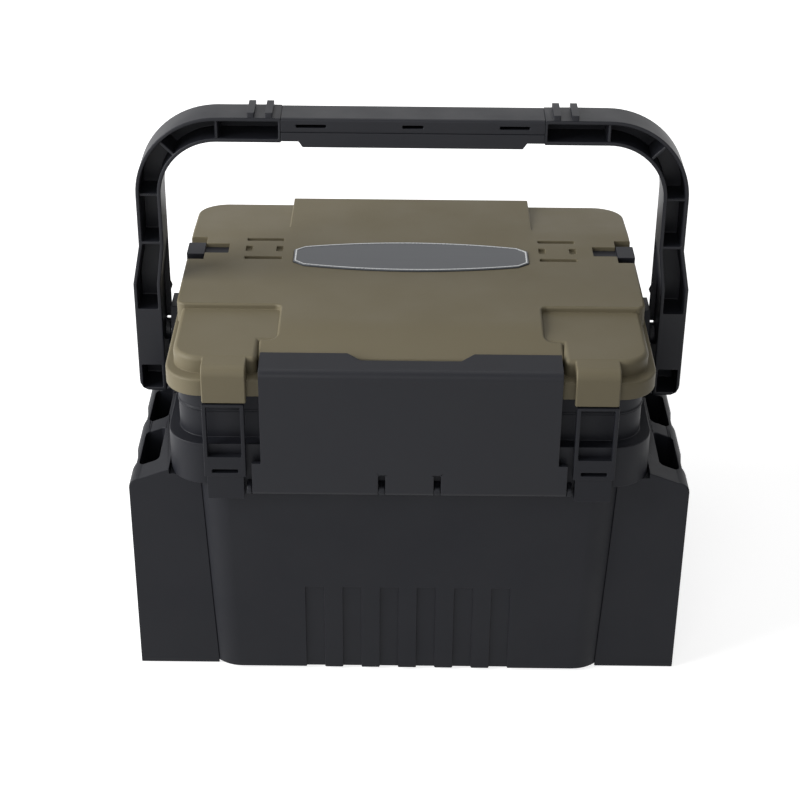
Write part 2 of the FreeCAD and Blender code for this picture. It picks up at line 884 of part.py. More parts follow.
def drill_tub(tub):
    """Holes for the rack screws, the tower screws and the pegs of the feet."""
    radius = S.screw_radius + S.screw_gap
    rack_holes = [Ring(y, z, radius) for y, z in rack_screw_spots()]
    tower_holes = [Ring(y, z, S.screw_radius) for y, z in tower_screw_spots()]
    inner = TUB_WIDTH / 2 - S.tub_taper - 2 * S.tub_wall
    for side in SIDES:
        tub.remove("X", *side_span(side, inner, TUB_WIDTH / 2), *rack_holes)
        skirt = side_span(side, COLLAR_HALF - 2 * S.collar_skirt, COLLAR_HALF)
        tub.remove("X", *skirt, *tower_holes)
    peg = S.foot_peg_radius + S.peg_clearance
    holes = [Ring(x, y, peg) for x, y in foot_spots().values()]
    top = S.tub_bottom + S.foot_peg_height + S.peg_clearance
    tub.remove("Z", S.tub_bottom, top, *holes)


def foot_spots():
    """Each foot's name and where its middle stands."""
    spots = {}
    x = COLLAR_HALF - S.foot_side_inset
    ends = ("front", COLLAR_FRONT + S.foot_end_inset), ("rear", COLLAR_BACK - S.foot_end_inset)
    for end, y in ends:
        for side in SIDES:
            spots[f"{end}_{side_name(side)}_foot"] = (x * side, y)
    return spots


def foot(label, x, y):
    """A non-slip pad with chamfered sides and a peg in the floor."""
    pad = Moulding(label)
    long, wide = S.foot_length / 2, S.foot_width / 2
    pad.add("Z", 0, S.tub_bottom, box_outline(x - long, x + long, y - wide, y + wide))
    pad.bevel_edges(S.foot_chamfer, lambda edge: flat_edge(edge, 0))
    peg = Ring(x, y, S.foot_peg_radius)
    pad.add("Z", S.tub_bottom, S.tub_bottom + S.foot_peg_height, peg)
    return pad.body


def side_rack(side):
    """A tool rack along one side: four open bays, a scalloped outer wall, hollow underneath."""
    rack = Moulding(f"{side_name(side)}_side_rack")
    start = TUB_WIDTH / 2 - S.tub_taper - S.tub_corner
    under_collar = S.collar_bottom - S.rack_gap
    shoulder_x = RACK_OUTER - S.rack_round
    shoulder_z = RACK_CREST - S.rack_slope_drop
    profile = Outline(start, S.rack_bottom).line(RACK_OUTER, S.rack_bottom)
    profile.line(RACK_OUTER, shoulder_z - S.rack_round).arc(shoulder_x, shoulder_z, S.rack_round)
    profile.line(RACK_INNER, RACK_CREST).line(RACK_INNER, under_collar).line(start, under_collar)
    rack.add("Y", RACK_FRONT, RACK_BACK, profile.flip(side))
    rack.remove("Z", S.rack_bottom, S.tub_bottom, tub_section(S.seat_gap, False))
    sections = tub_section(S.seat_gap, False), tub_section(S.seat_gap, True)
    rack.loft([(S.tub_bottom, sections[0]), (SHELF, sections[1])], hollow=True)
    bays, hollows = [], []
    wall = S.hollow_wall
    behind = box_outline(HOLLOW_INNER, BAY_INNER - wall, RACK_FRONT + wall, RACK_BACK - wall)
    hollows.append(behind.flip(side))
    for number in range(BAYS):
        front = RACK_FRONT + S.bay_front_end + BAY_PITCH * number
        back = front + BAY_PITCH - S.bay_bar
        bay = round_outline(BAY_INNER, BAY_INNER + S.bay_width, front, back, S.bay_corner)
        bays.append(bay.flip(side))
        start_y = front - S.bay_bar + wall if number else RACK_FRONT + wall
        outer = BAY_INNER + S.bay_width - wall
        hollows.append(box_outline(BAY_INNER, outer, start_y, front - wall).flip(side))
    rack.remove("Z", S.rack_bottom + S.rack_floor, RACK_CREST, *bays)
    hollow_top = shoulder_z - S.rack_round - S.hollow_roof
    rack.remove("Z", S.rack_bottom, hollow_top, *hollows)
    for number in range(BAYS):
        deep_front = RACK_FRONT + S.bay_front_end + BAY_PITCH * number + S.scallop_behind
        deep_back = deep_front + S.scallop_floor
        scallop = Outline(RACK_OUTER, deep_front - S.scallop_lead)
        scallop.line(RACK_OUTER, deep_back + S.scallop_fade)
        scallop.line(RACK_OUTER - S.scallop_deep, deep_back)
        scallop.line(RACK_OUTER - S.scallop_deep, deep_front)
        rack.remove("Z", S.rack_bottom, RACK_CREST, scallop.flip(side))
    pilots = [Ring(y, z, S.screw_radius) for y, z in rack_screw_spots()]
    rack.remove("X", *side_span(side, start, HOLLOW_INNER), *pilots)
    return rack.body


def rod_socket(side):
    """A rod stand socket on the collar: an open frame, a snap slot and a foot that hooks under."""
    socket = Moulding(f"{side_name(side)}_rod_socket")
    back = COLLAR_FRONT - S.seat_gap
    frame = box_outline(SOCKET_INNER, SOCKET_OUTER, SOCKET_BOTTOM, SOCKET_TOP)
    socket.add("Y", SOCKET_FRONT, back, frame.flip(side))
    window = box_outline(
        SOCKET_INNER + S.window_side,
        SOCKET_OUTER - S.window_side,
        SHELF - S.window_sill,
        SOCKET_TOP - S.window_head,
    )
    socket.remove("Y", SOCKET_FRONT, back, window.flip(side))
    middle = (SOCKET_INNER + SOCKET_OUTER) / 2
    low = SOCKET_BOTTOM + S.snap_slot_up
    slot = box_outline(
        middle - S.snap_slot_half, middle + S.snap_slot_half, low, low + S.snap_slot_height
    )
    socket.remove("Y", SOCKET_FRONT, back, slot.flip(side))
    inner = SOCKET_INNER + S.socket_foot_side
    outer = SOCKET_OUTER - S.socket_foot_side
    bottom = S.collar_bottom - S.socket_foot_drop
    foot_front = SOCKET_FRONT + 1
    shank = box_outline(inner, outer, bottom, SOCKET_BOTTOM)
    socket.add("Y", foot_front, back, shank.flip(side))
    hook = box_outline(inner, outer, bottom, S.collar_bottom - S.seat_gap)
    hook_back = COLLAR_FRONT + S.tub_front_step + S.seat_gap
    socket.add("Y", back, hook_back, hook.flip(side))
    return socket.body


def pivot_tower(side):
    """The tower that carries the handle's pivot, screwed to the collar's side."""
    tower = Moulding(f"{side_name(side)}_pivot_tower")
    y, half = S.pivot_y, S.tower_half
    bottom, top = SHELF - S.tower_lap, RIM_BOTTOM + S.tower_rise
    head = half / 2
    plate = Outline(y - half, bottom).line(y + half, bottom).line(y + half, SHELF)
    plate.line(y + head, top).line(y - head, top).line(y - half, SHELF)
    tower.add("X", *side_span(side, TOWER_INNER, TOWER_OUTER), plate)
    seat = box_outline(y - half, y + half, bottom, SHELF)
    tower.add("X", *side_span(side, COLLAR_HALF, TOWER_INNER), seat)
    ledge = box_outline(y - half, y + half, SHELF, SHELF + S.tower_thick / 2)
    tower.add("X", *side_span(side, NECK_WIDTH / 2 + 1, TOWER_INNER), ledge)
    span = side_span(side, NECK_WIDTH / 2, TOWER_OUTER)
    bore = Ring(y, PIVOT_Z, S.pivot_radius + S.running_fit)
    holes = [Ring(y, z, S.screw_radius + S.screw_gap) for y, z in tower_screw_spots()]
    tower.remove("X", *span, bore, *holes)
    sink = S.screw_head_thick + S.screw_gap
    sinks = [Ring(y, z, S.screw_head_radius + S.screw_gap) for y, z in tower_screw_spots()]
    tower.remove("X", *side_span(side, TOWER_OUTER - sink, TOWER_OUTER), *sinks)
    return tower.body


def screw(name, side, head_x, tip_x, y, z, inward):
    """A pan head screw along X, its head face at head_x and its shank running to tip_x."""
    head_end = head_x - S.screw_head_thick if inward else head_x + S.screw_head_thick
    head = rod(f"{name}_head", *side_span(side, head_x, head_end), y, z, S.screw_head_radius)
    shank = rod(f"{name}_shank", *side_span(side, head_x, tip_x), y, z, S.screw_radius)
    return joined(name, [head, shank])


def rack_screws():
    """Eight screws from inside the tub into the racks."""
    screws = []
    for side in SIDES:
        for number, (y, z) in enumerate(rack_screw_spots()):
            head_x = wall_half(z) - S.tub_wall - S.screw_gap
            tip = HOLLOW_INNER - S.screw_gap
            name = f"rack_screw_{side_name(side)}{number}"
            screws.append(screw(name, side, head_x, tip, y, z, True))
    return group("rack_screws", screws)


def tower_screws():
    """Four screws through the towers into the collar."""
    screws = []
    for side in SIDES:
        for number, (y, z) in enumerate(tower_screw_spots()):
            head_x = TOWER_OUTER - S.screw_head_thick
            tip = COLLAR_HALF - 2 * S.collar_skirt
            name = f"tower_screw_{side_name(side)}{number}"
            screws.append(screw(name, side, head_x, tip, y, z, False))
    return group("tower_screws", screws)


def lid_shell():
    """The olive lid: rim band, plateau, front corner pillows, straps, slots and hinge knuckles."""
    lid = Moulding("lid_shell")
    lid.add("Z", RIM_BOTTOM, RIM_TOP, centred_outline(S.collar_width, S.collar_depth, S.rim_corner))
    for side in SIDES:
        lid.add("Z", RIM_TOP, PILLOW_TOP, pillow_outline().flip(side))
    lid.round_edges(S.pillow_round, is_pillow_edge)
    lid.add("Z", RIM_TOP, LID_TOP, plateau_outline())
    slope_lid(lid)
    hollow_lid(lid)
    for side in SIDES:
        lid.add("X", *side_span(side, *strap_ends()), strap_profile())
    cut_accessory_slots(lid)
    add_stopper_guides(lid)
    lid.remove("Z", LID_TOP - S.badge_sunk, LID_TOP, badge_outline(S.badge_clearance))
    add_lid_knuckles(lid)
    return lid.body


def pillow_outline():
    """The raised block on the right front corner, which leaves room for the latch's lip."""
    r = S.pillow_corner
    inner, back = CENTRE_HALF - S.lid_wall, CORNER_STEP + S.lid_wall
    outline = Outline(PILLOW_CUT_HALF, PILLOW_FRONT).line(PILLOW_HALF - r, PILLOW_FRONT)
    outline.arc(PILLOW_HALF, PILLOW_FRONT + r, r).line(PILLOW_HALF, back).line(inner, back)
    return outline.line(inner, PILLOW_CUT_Y).line(PILLOW_CUT_HALF, PILLOW_CUT_Y)


def is_pillow_edge(edge):
    """The pillows' outer top edges: front, corner and side."""
    box = edge.BoundBox
    outside = max(abs(box.XMin), abs(box.XMax))
    front = near(box.YMin, PILLOW_FRONT) and near(box.YMax, PILLOW_FRONT)
    corner = near(outside, PILLOW_HALF) and not near(box.YMax, CORNER_STEP + S.lid_wall)
    side = near(box.XMin, box.XMax) and near(outside, PILLOW_HALF)
    return flat_edge(edge, PILLOW_TOP) and (front or corner or side)


def plateau_outline():
    """The high part of the lid, which runs to the front only in the middle."""
    r = S.rim_corner - S.plateau_inset
    wide, cut = PILLOW_CUT_HALF, PILLOW_CUT_Y
    outline = Outline(-wide, CENTRE_FRONT).line(wide, CENTRE_FRONT).line(wide, cut)
    outline.line(CENTRE_HALF, cut).line(CENTRE_HALF, CORNER_STEP).line(PLATEAU_HALF, CORNER_STEP)
    outline.line(PLATEAU_HALF, COLLAR_BACK - r).arc(PLATEAU_HALF - r, COLLAR_BACK, r)
    outline.line(r - PLATEAU_HALF, COLLAR_BACK).arc(-PLATEAU_HALF, COLLAR_BACK - r, r)
    outline.line(-PLATEAU_HALF, CORNER_STEP).line(-CENTRE_HALF, CORNER_STEP)
    return outline.line(-CENTRE_HALF, cut).line(-wide, cut)


def slope_lid(lid):
    """Slopes the middle down to the front and the rear corners down to the back."""
    beyond = S.seat_gap
    slope = Outline(CENTRE_FRONT - beyond, LID_TOP - S.slope_drop).line(SLOPE_START, LID_TOP)
    slope.line(SLOPE_START, LID_TOP + 1).line(CENTRE_FRONT - beyond, LID_TOP + 1)
    lid.remove("X", -PILLOW_CUT_HALF, PILLOW_CUT_HALF, slope)
    ramp = Outline(RAMP_START, LID_TOP).line(COLLAR_BACK, LID_TOP - S.ramp_drop)
    ramp.line(COLLAR_BACK + beyond, LID_TOP - S.ramp_drop).line(COLLAR_BACK + beyond, LID_TOP + 1)
    ramp.line(RAMP_START, LID_TOP + 1)
    for side in SIDES:
        lid.remove("X", *side_span(side, CENTRE_HALF, COLLAR_HALF), ramp)


def hollow_lid(lid):
    """Empties the rim, the corners and the plateau, and lifts the skirt clear at the back."""
    wall = S.lid_wall
    rim = centred_outline(
        S.collar_width - 2 * wall, S.collar_depth - 2 * wall, S.rim_corner - wall
    )
    lid.remove("Z", RIM_BOTTOM, RIM_TOP - wall, rim)
    half = PILLOW_HALF - wall
    back = COLLAR_BACK - 2 * wall
    lid.remove("Z", RIM_TOP - wall, LOW_ROOF, room_outline(half, back))
    inner = CENTRE_HALF - wall
    front, step = SLOPE_START, CORNER_STEP + wall
    cross = Outline(-inner, front).line(inner, front).line(inner, step).line(half, step)
    cross.line(half, RAMP_START).line(inner, RAMP_START).line(inner, back).line(-inner, back)
    cross.line(-inner, RAMP_START).line(-half, RAMP_START).line(-half, step).line(-inner, step)
    lid.remove("Z", LOW_ROOF, CEILING, cross)
    start = COLLAR_BACK - S.rim_corner
    skirt = box_outline(-COLLAR_HALF, COLLAR_HALF, start, COLLAR_BACK)
    lid.remove("Z", RIM_BOTTOM, RIM_BOTTOM + S.rear_skirt_lift, skirt)


def room_outline(half, back):
    """The space under the corners, set back in the middle where the front of the lid is."""
    r = S.pillow_corner - S.lid_wall
    front = PILLOW_FRONT + S.lid_wall
    middle, set_back = PILLOW_CUT_HALF + S.lid_wall, CENTRE_FRONT + S.lid_wall
    outline = Outline(r - half, front).line(-middle, front).line(-middle, set_back)
    outline.line(middle, set_back).line(middle, front).line(half - r, front)
    outline.arc(half, front + r, r).line(half, back - r).arc(half - r, back, r)
    outline.line(r - half, back).arc(-half, back - r, r).line(-half, front + r)
    return outline.arc_to_start(r)


def strap_ends():
    half = S.strap_width / 2
    return STRAP_MIDDLE - half, STRAP_MIDDLE + half


def strap_profile():
    """A strap seen from the side: off the pillow, over the rim and down to the socket."""
    wall, bend = S.lid_wall, S.strap_bend
    root = PILLOW_FRONT + S.strap_root
    top = PILLOW_TOP + S.seat_gap
    crest = PILLOW_FRONT + S.strap_crest
    foot = PILLOW_FRONT + S.strap_foot
    profile = Outline(STRAP_FRONT, STRAP_BOTTOM).line(STRAP_FRONT + wall, STRAP_BOTTOM)
    profile.line(STRAP_FRONT + wall, RIM_TOP - wall / 2).line(foot, RIM_TOP - wall / 2)
    profile.line(foot, PILLOW_TOP - wall / 2).line(root, PILLOW_TOP - wall / 2).line(root, top)
    profile.line(crest, top).line(STRAP_FRONT + bend, RIM_TOP + S.strap_knee)
    return profile.arc(STRAP_FRONT, RIM_TOP + bend / 2, bend)


def cut_accessory_slots(lid):
    """Two long slots and two short ones on each side of the badge, closed underneath."""
    inner = CENTRE_HALF + S.slot_side_gap
    outer = inner + S.slot_length
    y, half = S.slot_row_y, S.slot_width / 2
    margin = S.slot_floor
    reach = S.slot_spread + half + margin
    backing = box_outline(inner - margin, outer + margin, y - reach, y + reach)
    for side in SIDES:
        lid.add("Z", CEILING - S.slot_floor, CEILING + S.lid_wall / 2, backing.flip(side))
    openings = []
    for middle in (y - S.slot_spread, y + S.slot_spread):
        openings.append(box_outline(inner, outer, middle - half, middle + half))
    for start in (inner, outer - S.hole_length):
        end = start + S.hole_length
        openings.append(box_outline(start, end, y - S.hole_width / 2, y + S.hole_width / 2))
    for side in SIDES:
        lid.remove("Z", CEILING, LID_TOP, *[opening.flip(side) for opening in openings])


def add_stopper_guides(lid):
    """A block under each end of the plateau, cut for the stopper's stem and head."""
    y, gap = S.slot_row_y, S.slide_clearance
    wide = S.stopper_notch_width / 2 + S.stopper_floor
    floor = STOPPER_BOTTOM - gap
    block_low = floor - S.stopper_floor
    guide = box_outline(STOPPER_START - S.stopper_floor, PLATEAU_HALF, y - wide, y + wide)
    stem_half = S.stopper_stem_width / 2 + gap
    stem = box_outline(STOPPER_START - gap, STOPPER_NECK, y - stem_half, y + stem_half)
    notch_half = S.stopper_notch_width / 2
    notch = box_outline(STOPPER_NECK - gap, COLLAR_HALF, y - notch_half, y + notch_half)
    for side in SIDES:
        lid.add("Z", block_low, CEILING + S.lid_wall / 2, guide.flip(side))
        lid.remove("Z", floor, LID_TOP, stem.flip(side))
        lid.remove("Z", floor, LID_TOP, notch.flip(side))


def add_lid_knuckles(lid):
    """Notches for the tub's ears, and a bored knuckle between each pair."""
    gap, swing = S.hinge_side_gap, S.hinge_radius + S.hinge_swing_gap
    notch = box_outline(HINGE_Y - swing, COLLAR_BACK, RIM_BOTTOM, HINGE_Z + swing)
    for low, high in ear_spans():
        lid.remove("X", low - gap, high + gap, notch)
    start = S.hinge_start + S.hinge_ear + gap
    end = HINGE_END - S.hinge_ear - gap
    for side in SIDES:
        span = side_span(side, start, end)
        lid.add("X", *span, Ring(HINGE_Y, HINGE_Z, S.hinge_radius))
        lid.remove("X", *span, Ring(HINGE_Y, HINGE_Z, S.hinge_pin_radius + S.running_fit))


def badge_outline(grow):
    """The badge: a long six-sided plate with bowed long edges."""
    grow = size(grow)
    y = S.badge_y
    end = CENTRE_HALF - S.badge_side_gap + grow
    shoulder = CENTRE_HALF - S.badge_side_gap - S.badge_end_cut
    high = S.badge_shoulder_half + grow
    tip = S.badge_end_half + grow / 2
    outline = Outline(-shoulder, y - high).arc(shoulder, y - high, S.badge_arc)
    outline.line(end, y - tip).line(end, y + tip).line(shoulder, y + high)
    return outline.arc(-shoulder, y + high, S.badge_arc).line(-end, y + tip).line(-end, y - tip)


def lid_badge():
    """The bare badge plate, set into the plateau."""
    badge = Moulding("lid_badge")
    bottom = LID_TOP - S.badge_sunk
    badge.add("Z", bottom, bottom + S.badge_thick, badge_outline(0))
    return badge.body


def handle_stopper(side):
    """A slider in the lid: a wide head at the edge and a narrower stem inward."""
    stopper = Moulding(f"{side_name(side)}_handle_stopper")
    y = S.slot_row_y
    head_half, stem_half = S.stopper_head_width / 2, S.stopper_stem_width / 2
    head = box_outline(STOPPER_NECK, STOPPER_END, y - head_half, y + head_half)
    stem = box_outline(STOPPER_START, STOPPER_NECK + 1, y - stem_half, y + stem_half)
    top = LID_TOP - S.slide_clearance
    stopper.add("Z", STOPPER_BOTTOM, top, head.flip(side))
    stopper.add("Z", STOPPER_BOTTOM, top - S.lid_wall, stem.flip(side))
    return stopper.body


def front_latch():
    """The wide latch: a plate on a barrel, with a lip over the lid's front edge."""
    latch = Moulding("front_latch")
    foot_top = LATCH_AXIS_Z + S.latch_foot_height
    shoulder = LATCH_TOP - S.latch_crown
    plate = Outline(-LATCH_FOOT_HALF, LATCH_AXIS_Z).line(LATCH_FOOT_HALF, LATCH_AXIS_Z)
    plate.line(LATCH_FOOT_HALF, foot_top).line(LATCH_HALF, foot_top).line(LATCH_HALF, shoulder)
    plate.line(-LATCH_HALF, shoulder).line(-LATCH_HALF, foot_top).line(-LATCH_FOOT_HALF, foot_top)
    latch.add("Y", LATCH_FRONT, LATCH_BACK, plate)
    barrel = Ring(LATCH_AXIS_Y, LATCH_AXIS_Z, S.latch_barrel)
    latch.add("X", -LATCH_FOOT_HALF, LATCH_FOOT_HALF, barrel)
    lip_top = LATCH_TOP + S.latch_lip_rise
    slope = S.latch_lip_rise / (LIP_BACK - LATCH_FRONT)
    under = LATCH_TOP + slope * S.latch_thick - S.latch_lip_thick
    lip = Outline(LATCH_BACK, shoulder).line(LATCH_BACK, under)
    lip.line(LIP_BACK, lip_top - S.latch_lip_thick).line(LIP_BACK, lip_top)
    lip.line(LATCH_FRONT + S.latch_crown, LATCH_TOP + slope * S.latch_crown)
    lip.arc(LATCH_FRONT, shoulder, S.latch_bend)
    latch.add("X", -LATCH_HALF, LATCH_HALF, lip)
    wide, cut = S.latch_finger_half, LIP_BACK - S.latch_finger_cut
    narrow = wide - S.latch_finger_step
    finger = Outline(-wide, LIP_BACK).line(-narrow, cut).line(narrow, cut).line(wide, LIP_BACK)
    latch.remove("Z", LATCH_TOP - S.latch_thick, lip_top, finger)
    half = S.latch_lug_width / 2 + S.latch_slot_gap
    low = LATCH_AXIS_Z - S.latch_barrel - S.latch_slot_round
    for side in SIDES:
        x = S.latch_slot_x * side
        high = LATCH_AXIS_Z + S.latch_slot_up
        slot = round_outline(x - half, x + half, low, high, S.latch_slot_round)
        latch.remove("Y", LATCH_FRONT, LATCH_FRONT + 2 * S.latch_barrel, slot)
    bore = Ring(LATCH_AXIS_Y, LATCH_AXIS_Z, S.latch_pin_radius + S.running_fit)
    latch.remove("X", -LATCH_FOOT_HALF, LATCH_FOOT_HALF, bore)
    return latch.body


def latch_hinge_pin():
    half = LATCH_FOOT_HALF + S.latch_end_gap + S.latch_end_lug
    pin = rod("latch_hinge_pin", -half, half, LATCH_AXIS_Y, LATCH_AXIS_Z, S.latch_pin_radius)
    return labelled("latch_hinge_pin", pin)


def lid_hinge_pin(side):
    name = f"{side_name(side)}_lid_hinge_pin"
    ends = side_span(side, S.hinge_start, HINGE_END)
    return labelled(name, rod(name, *ends, HINGE_Y, HINGE_Z, S.hinge_pin_radius))


def pivot_pin(side):
    """A headed pin through the arm, the washer and the tower, with its end past the clip."""
    name = f"{side_name(side)}_pivot_pin"
    end = clip_span()[0] - S.clip_end_gap
    head = ARM_LOW_OUTER - S.pivot_head_thick
    shank = rod(f"{name}_shank", *side_span(side, end, head), S.pivot_y, PIVOT_Z, S.pivot_radius)
    ends = side_span(side, head, ARM_LOW_OUTER)
    button = rod(f"{name}_head", *ends, S.pivot_y, PIVOT_Z, S.pivot_head_radius)
    return labelled(name, joined(name, [shank, button]))


def clip_span():
    """The inner and outer X of the pivot clip, just inside the tower."""
    outer = TOWER_INNER - S.seat_gap
    return outer - S.clip_thick, outer


def flat_ring(name, side, inner_x, outer_x, radius):
    """A flat ring round the pivot pin."""
    span = side_span(side, inner_x, outer_x)
    disc = rod(f"{name}_disc", *span, S.pivot_y, PIVOT_Z, radius)
    bore_radius = S.pivot_radius + S.running_fit
    bore = rod(f"{name}_bore", *span, S.pivot_y, PIVOT_Z, bore_radius)
    return labelled(name, carved(name, disc, bore))


def pivot_clip(side):
    return flat_ring(f"{side_name(side)}_pivot_clip", side, *clip_span(), S.clip_radius)


def pivot_washer(side):
    start = TOWER_OUTER + S.arm_gap / 2
    name = f"{side_name(side)}_pivot_washer"
    return flat_ring(name, side, start, start + S.washer_thick, S.washer_radius)


def handle_frame():
    """The handle: two channel arms, arched corners and a bar, ribbed and open to the front."""
    frame = Moulding("handle_frame")
    frame.add("Y", HANDLE_FRONT, HANDLE_BACK, frame_outline())
    web_back = HANDLE_BACK - S.handle_wall
    web_low = PIVOT_Z + S.pivot_head_radius
    web = box_outline(WEB_INNER, ARM_LOW_INNER + 1, web_low, JOG_HIGH)
    hook_z = PIVOT_Z + S.hook_up
    hook = Outline(WEB_INNER + 1, hook_z - S.hook_height / 2)
    hook.line(WEB_INNER, hook_z - S.hook_height / 2).line(WEB_INNER - S.hook_proud, hook_z)
    hook.line(WEB_INNER, hook_z + S.hook_height / 2).line(WEB_INNER + 1, hook_z + S.hook_height / 2)
    for side in SIDES:
        frame.add("Y", web_back, HANDLE_BACK, web.flip(side))
        frame.add("Y", web_back, HANDLE_BACK, hook.flip(side))
        boss = Ring(S.pivot_y, PIVOT_Z, S.pivot_head_radius)
        frame.add("X", *side_span(side, WEB_INNER, ARM_LOW_INNER + 1), boss)
    for side in SIDES:
        for pocket in frame_pockets():
            frame.remove("Y", HANDLE_FRONT, web_back, pocket.flip(side))
        ribs = [rib.flip(side) for rib in frame_ribs()]
        frame.add("Y", HANDLE_FRONT + S.handle_wall / 2, web_back, *ribs)
        for pocket in rear_pockets():
            frame.remove("Y", HANDLE_FRONT + S.handle_wall, HANDLE_BACK, pocket.flip(side))
    narrow_bar(frame)
    bore_frame(frame)
    add_bands(frame)
    return frame.body


def frame_outline():
    """The handle's front view: round ended arms, a jog in each, arches and the bar."""
    end, arch, inner_arch = S.arm_end_round, S.arch_outer_round, ARCH_INNER_ROUND
    outline = Outline(ARM_LOW_INNER, ARM_BOTTOM).line(ARM_LOW_OUTER - end, ARM_BOTTOM)
    outline.arc(ARM_LOW_OUTER, ARM_BOTTOM + end, end).line(ARM_LOW_OUTER, JOG_LOW)
    outline.line(ARM_HIGH_OUTER, JOG_HIGH).line(ARM_HIGH_OUTER, ARCH_START)
    outline.arc(BAR_HALF, BAR_TOP, arch).line(-BAR_HALF, BAR_TOP)
    outline.arc(-ARM_HIGH_OUTER, ARCH_START, arch).line(-ARM_HIGH_OUTER, JOG_HIGH)
    outline.line(-ARM_LOW_OUTER, JOG_LOW).line(-ARM_LOW_OUTER, ARM_BOTTOM + end)
    outline.arc(end - ARM_LOW_OUTER, ARM_BOTTOM, end).line(-ARM_LOW_INNER, ARM_BOTTOM)
    outline.line(-ARM_LOW_INNER, JOG_LOW).line(-WEB_INNER, JOG_HIGH).line(-WEB_INNER, ARCH_START)
    outline.arc(-BAR_HALF, BAR_BOTTOM, inner_arch, False).line(BAR_HALF, BAR_BOTTOM)
    outline.arc(WEB_INNER, ARCH_START, inner_arch, False).line(WEB_INNER, JOG_HIGH)
    return outline.line(ARM_LOW_INNER, JOG_LOW)


def frame_pockets():
    """The front pockets of the right half: end of the arm, jog, and arm to bar in one sweep."""
    wall, rib = S.handle_wall, S.handle_rib / 2
    low_in, low_out = ARM_LOW_INNER + wall, ARM_LOW_OUTER - wall
    high_in, high_out = WEB_INNER + wall, ARM_HIGH_OUTER - wall
    rib_z = PIVOT_Z + S.rib_up
    boss_low, boss_high = PIVOT_Z - S.boss_low, PIVOT_Z + S.boss_high
    bar_end = S.grip_half + S.rib_bar_gap
    end = box_outline(low_in, low_out, ARM_BOTTOM + wall, boss_low)
    jog = Outline(low_in, boss_high).line(low_out, boss_high).line(low_out, JOG_LOW)
    jog.line(high_out, JOG_HIGH).line(high_out, rib_z - rib).line(high_in, rib_z - rib)
    jog.line(high_in, JOG_HIGH).line(low_in, JOG_LOW)
    sweep = Outline(high_in, rib_z + rib).line(high_out, rib_z + rib).line(high_out, ARCH_START)
    sweep.arc(BAR_HALF, BAR_TOP - wall, S.arch_outer_round - wall).line(bar_end, BAR_TOP - wall)
    sweep.line(bar_end, BAR_BOTTOM + wall).line(BAR_HALF, BAR_BOTTOM + wall)
    sweep.arc(high_in, ARCH_START, ARCH_INNER_ROUND + wall, False)
    return end, jog, sweep


def frame_ribs():
    """Cross ribs of the right half: at the arch's foot, across the arch and in the bar."""
    wall, rib = S.handle_wall, S.handle_rib / 2
    level = box_outline(WEB_INNER + 1, ARM_HIGH_OUTER - 1, ARCH_START - rib, ARCH_START + rib)
    upright = box_outline(BAR_HALF - rib, BAR_HALF + rib, BAR_BOTTOM + 1, BAR_TOP - wall / 2)
    slant = math.sqrt(0.5)
    near_end = (ARCH_INNER_ROUND + wall / 2) * slant
    far_end = (S.arch_outer_round - wall / 2) * slant
    off = rib * slant
    x, z = BAR_HALF, ARCH_START
    across = Outline(x + near_end + off, z + near_end - off)
    across.line(x + far_end + off, z + far_end - off).line(x + far_end - off, z + far_end + off)
    across.line(x + near_end - off, z + near_end + off)
    return level, upright, across


def rear_pockets():
    """Hollows behind the closed panel, above and below the pivot."""
    wall = S.handle_wall
    inner, outer = ARM_LOW_INNER + wall, ARM_LOW_OUTER - wall
    clear = S.pivot_head_radius + wall / 2
    low = box_outline(inner, outer, PIVOT_Z - S.boss_low + wall, PIVOT_Z - clear)
    high = box_outline(inner, outer, PIVOT_Z + clear, PIVOT_Z + S.boss_high - wall)
    return low, high


def narrow_bar(frame):
    """Thins the bar to a core where the grip goes, and channels the core from the front."""
    shell = S.grip_shell
    around = box_outline(HANDLE_FRONT, HANDLE_BACK, BAR_BOTTOM, BAR_TOP)
    core = box_outline(*core_box())
    frame.remove("X", -S.grip_half, S.grip_half, around, core)
    front, back, low, high = core_box()
    half = S.grip_half - shell
    channel = box_outline(-half, half, low + shell, high - shell)
    frame.remove("Y", front, back - shell, channel)


def core_box():
    """The bar's core under the grip: front, back, bottom and top."""
    shell, fit = S.grip_shell, S.grip_fit
    return (
        HANDLE_FRONT + shell + fit,
        HANDLE_BACK - shell - fit,
        BAR_BOTTOM + shell,
        BAR_TOP - shell - fit,
    )


def bore_frame(frame):
    """Pivot bores through both arms, sunk on the outside for the pins' heads."""
    bore = Ring(S.pivot_y, PIVOT_Z, S.pivot_radius + S.running_fit)
    sink = Ring(S.pivot_y, PIVOT_Z, S.pivot_head_radius + S.screw_gap)
    for side in SIDES:
        frame.remove("X", *side_span(side, WEB_INNER, ARM_LOW_OUTER), bore)
        depth = S.pivot_head_thick + S.running_fit
        frame.remove("X", *side_span(side, ARM_LOW_OUTER - depth, ARM_LOW_OUTER), sink)


def add_bands(frame):
    """Two raised bands on the bar beyond each end of the grip."""
    middle = S.grip_half + S.band_gap
    half = S.band_width / 2
    bands = []
    for side in SIDES:
        for x in (middle - S.band_spread, middle + S.band_spread):
            band = box_outline(x - half, x + half, HANDLE_FRONT + 1, HANDLE_BACK - 1)
            bands.append(band.flip(side))
    frame.add("Z", BAR_TOP - S.handle_wall, BAR_TOP + S.band_proud, *bands)


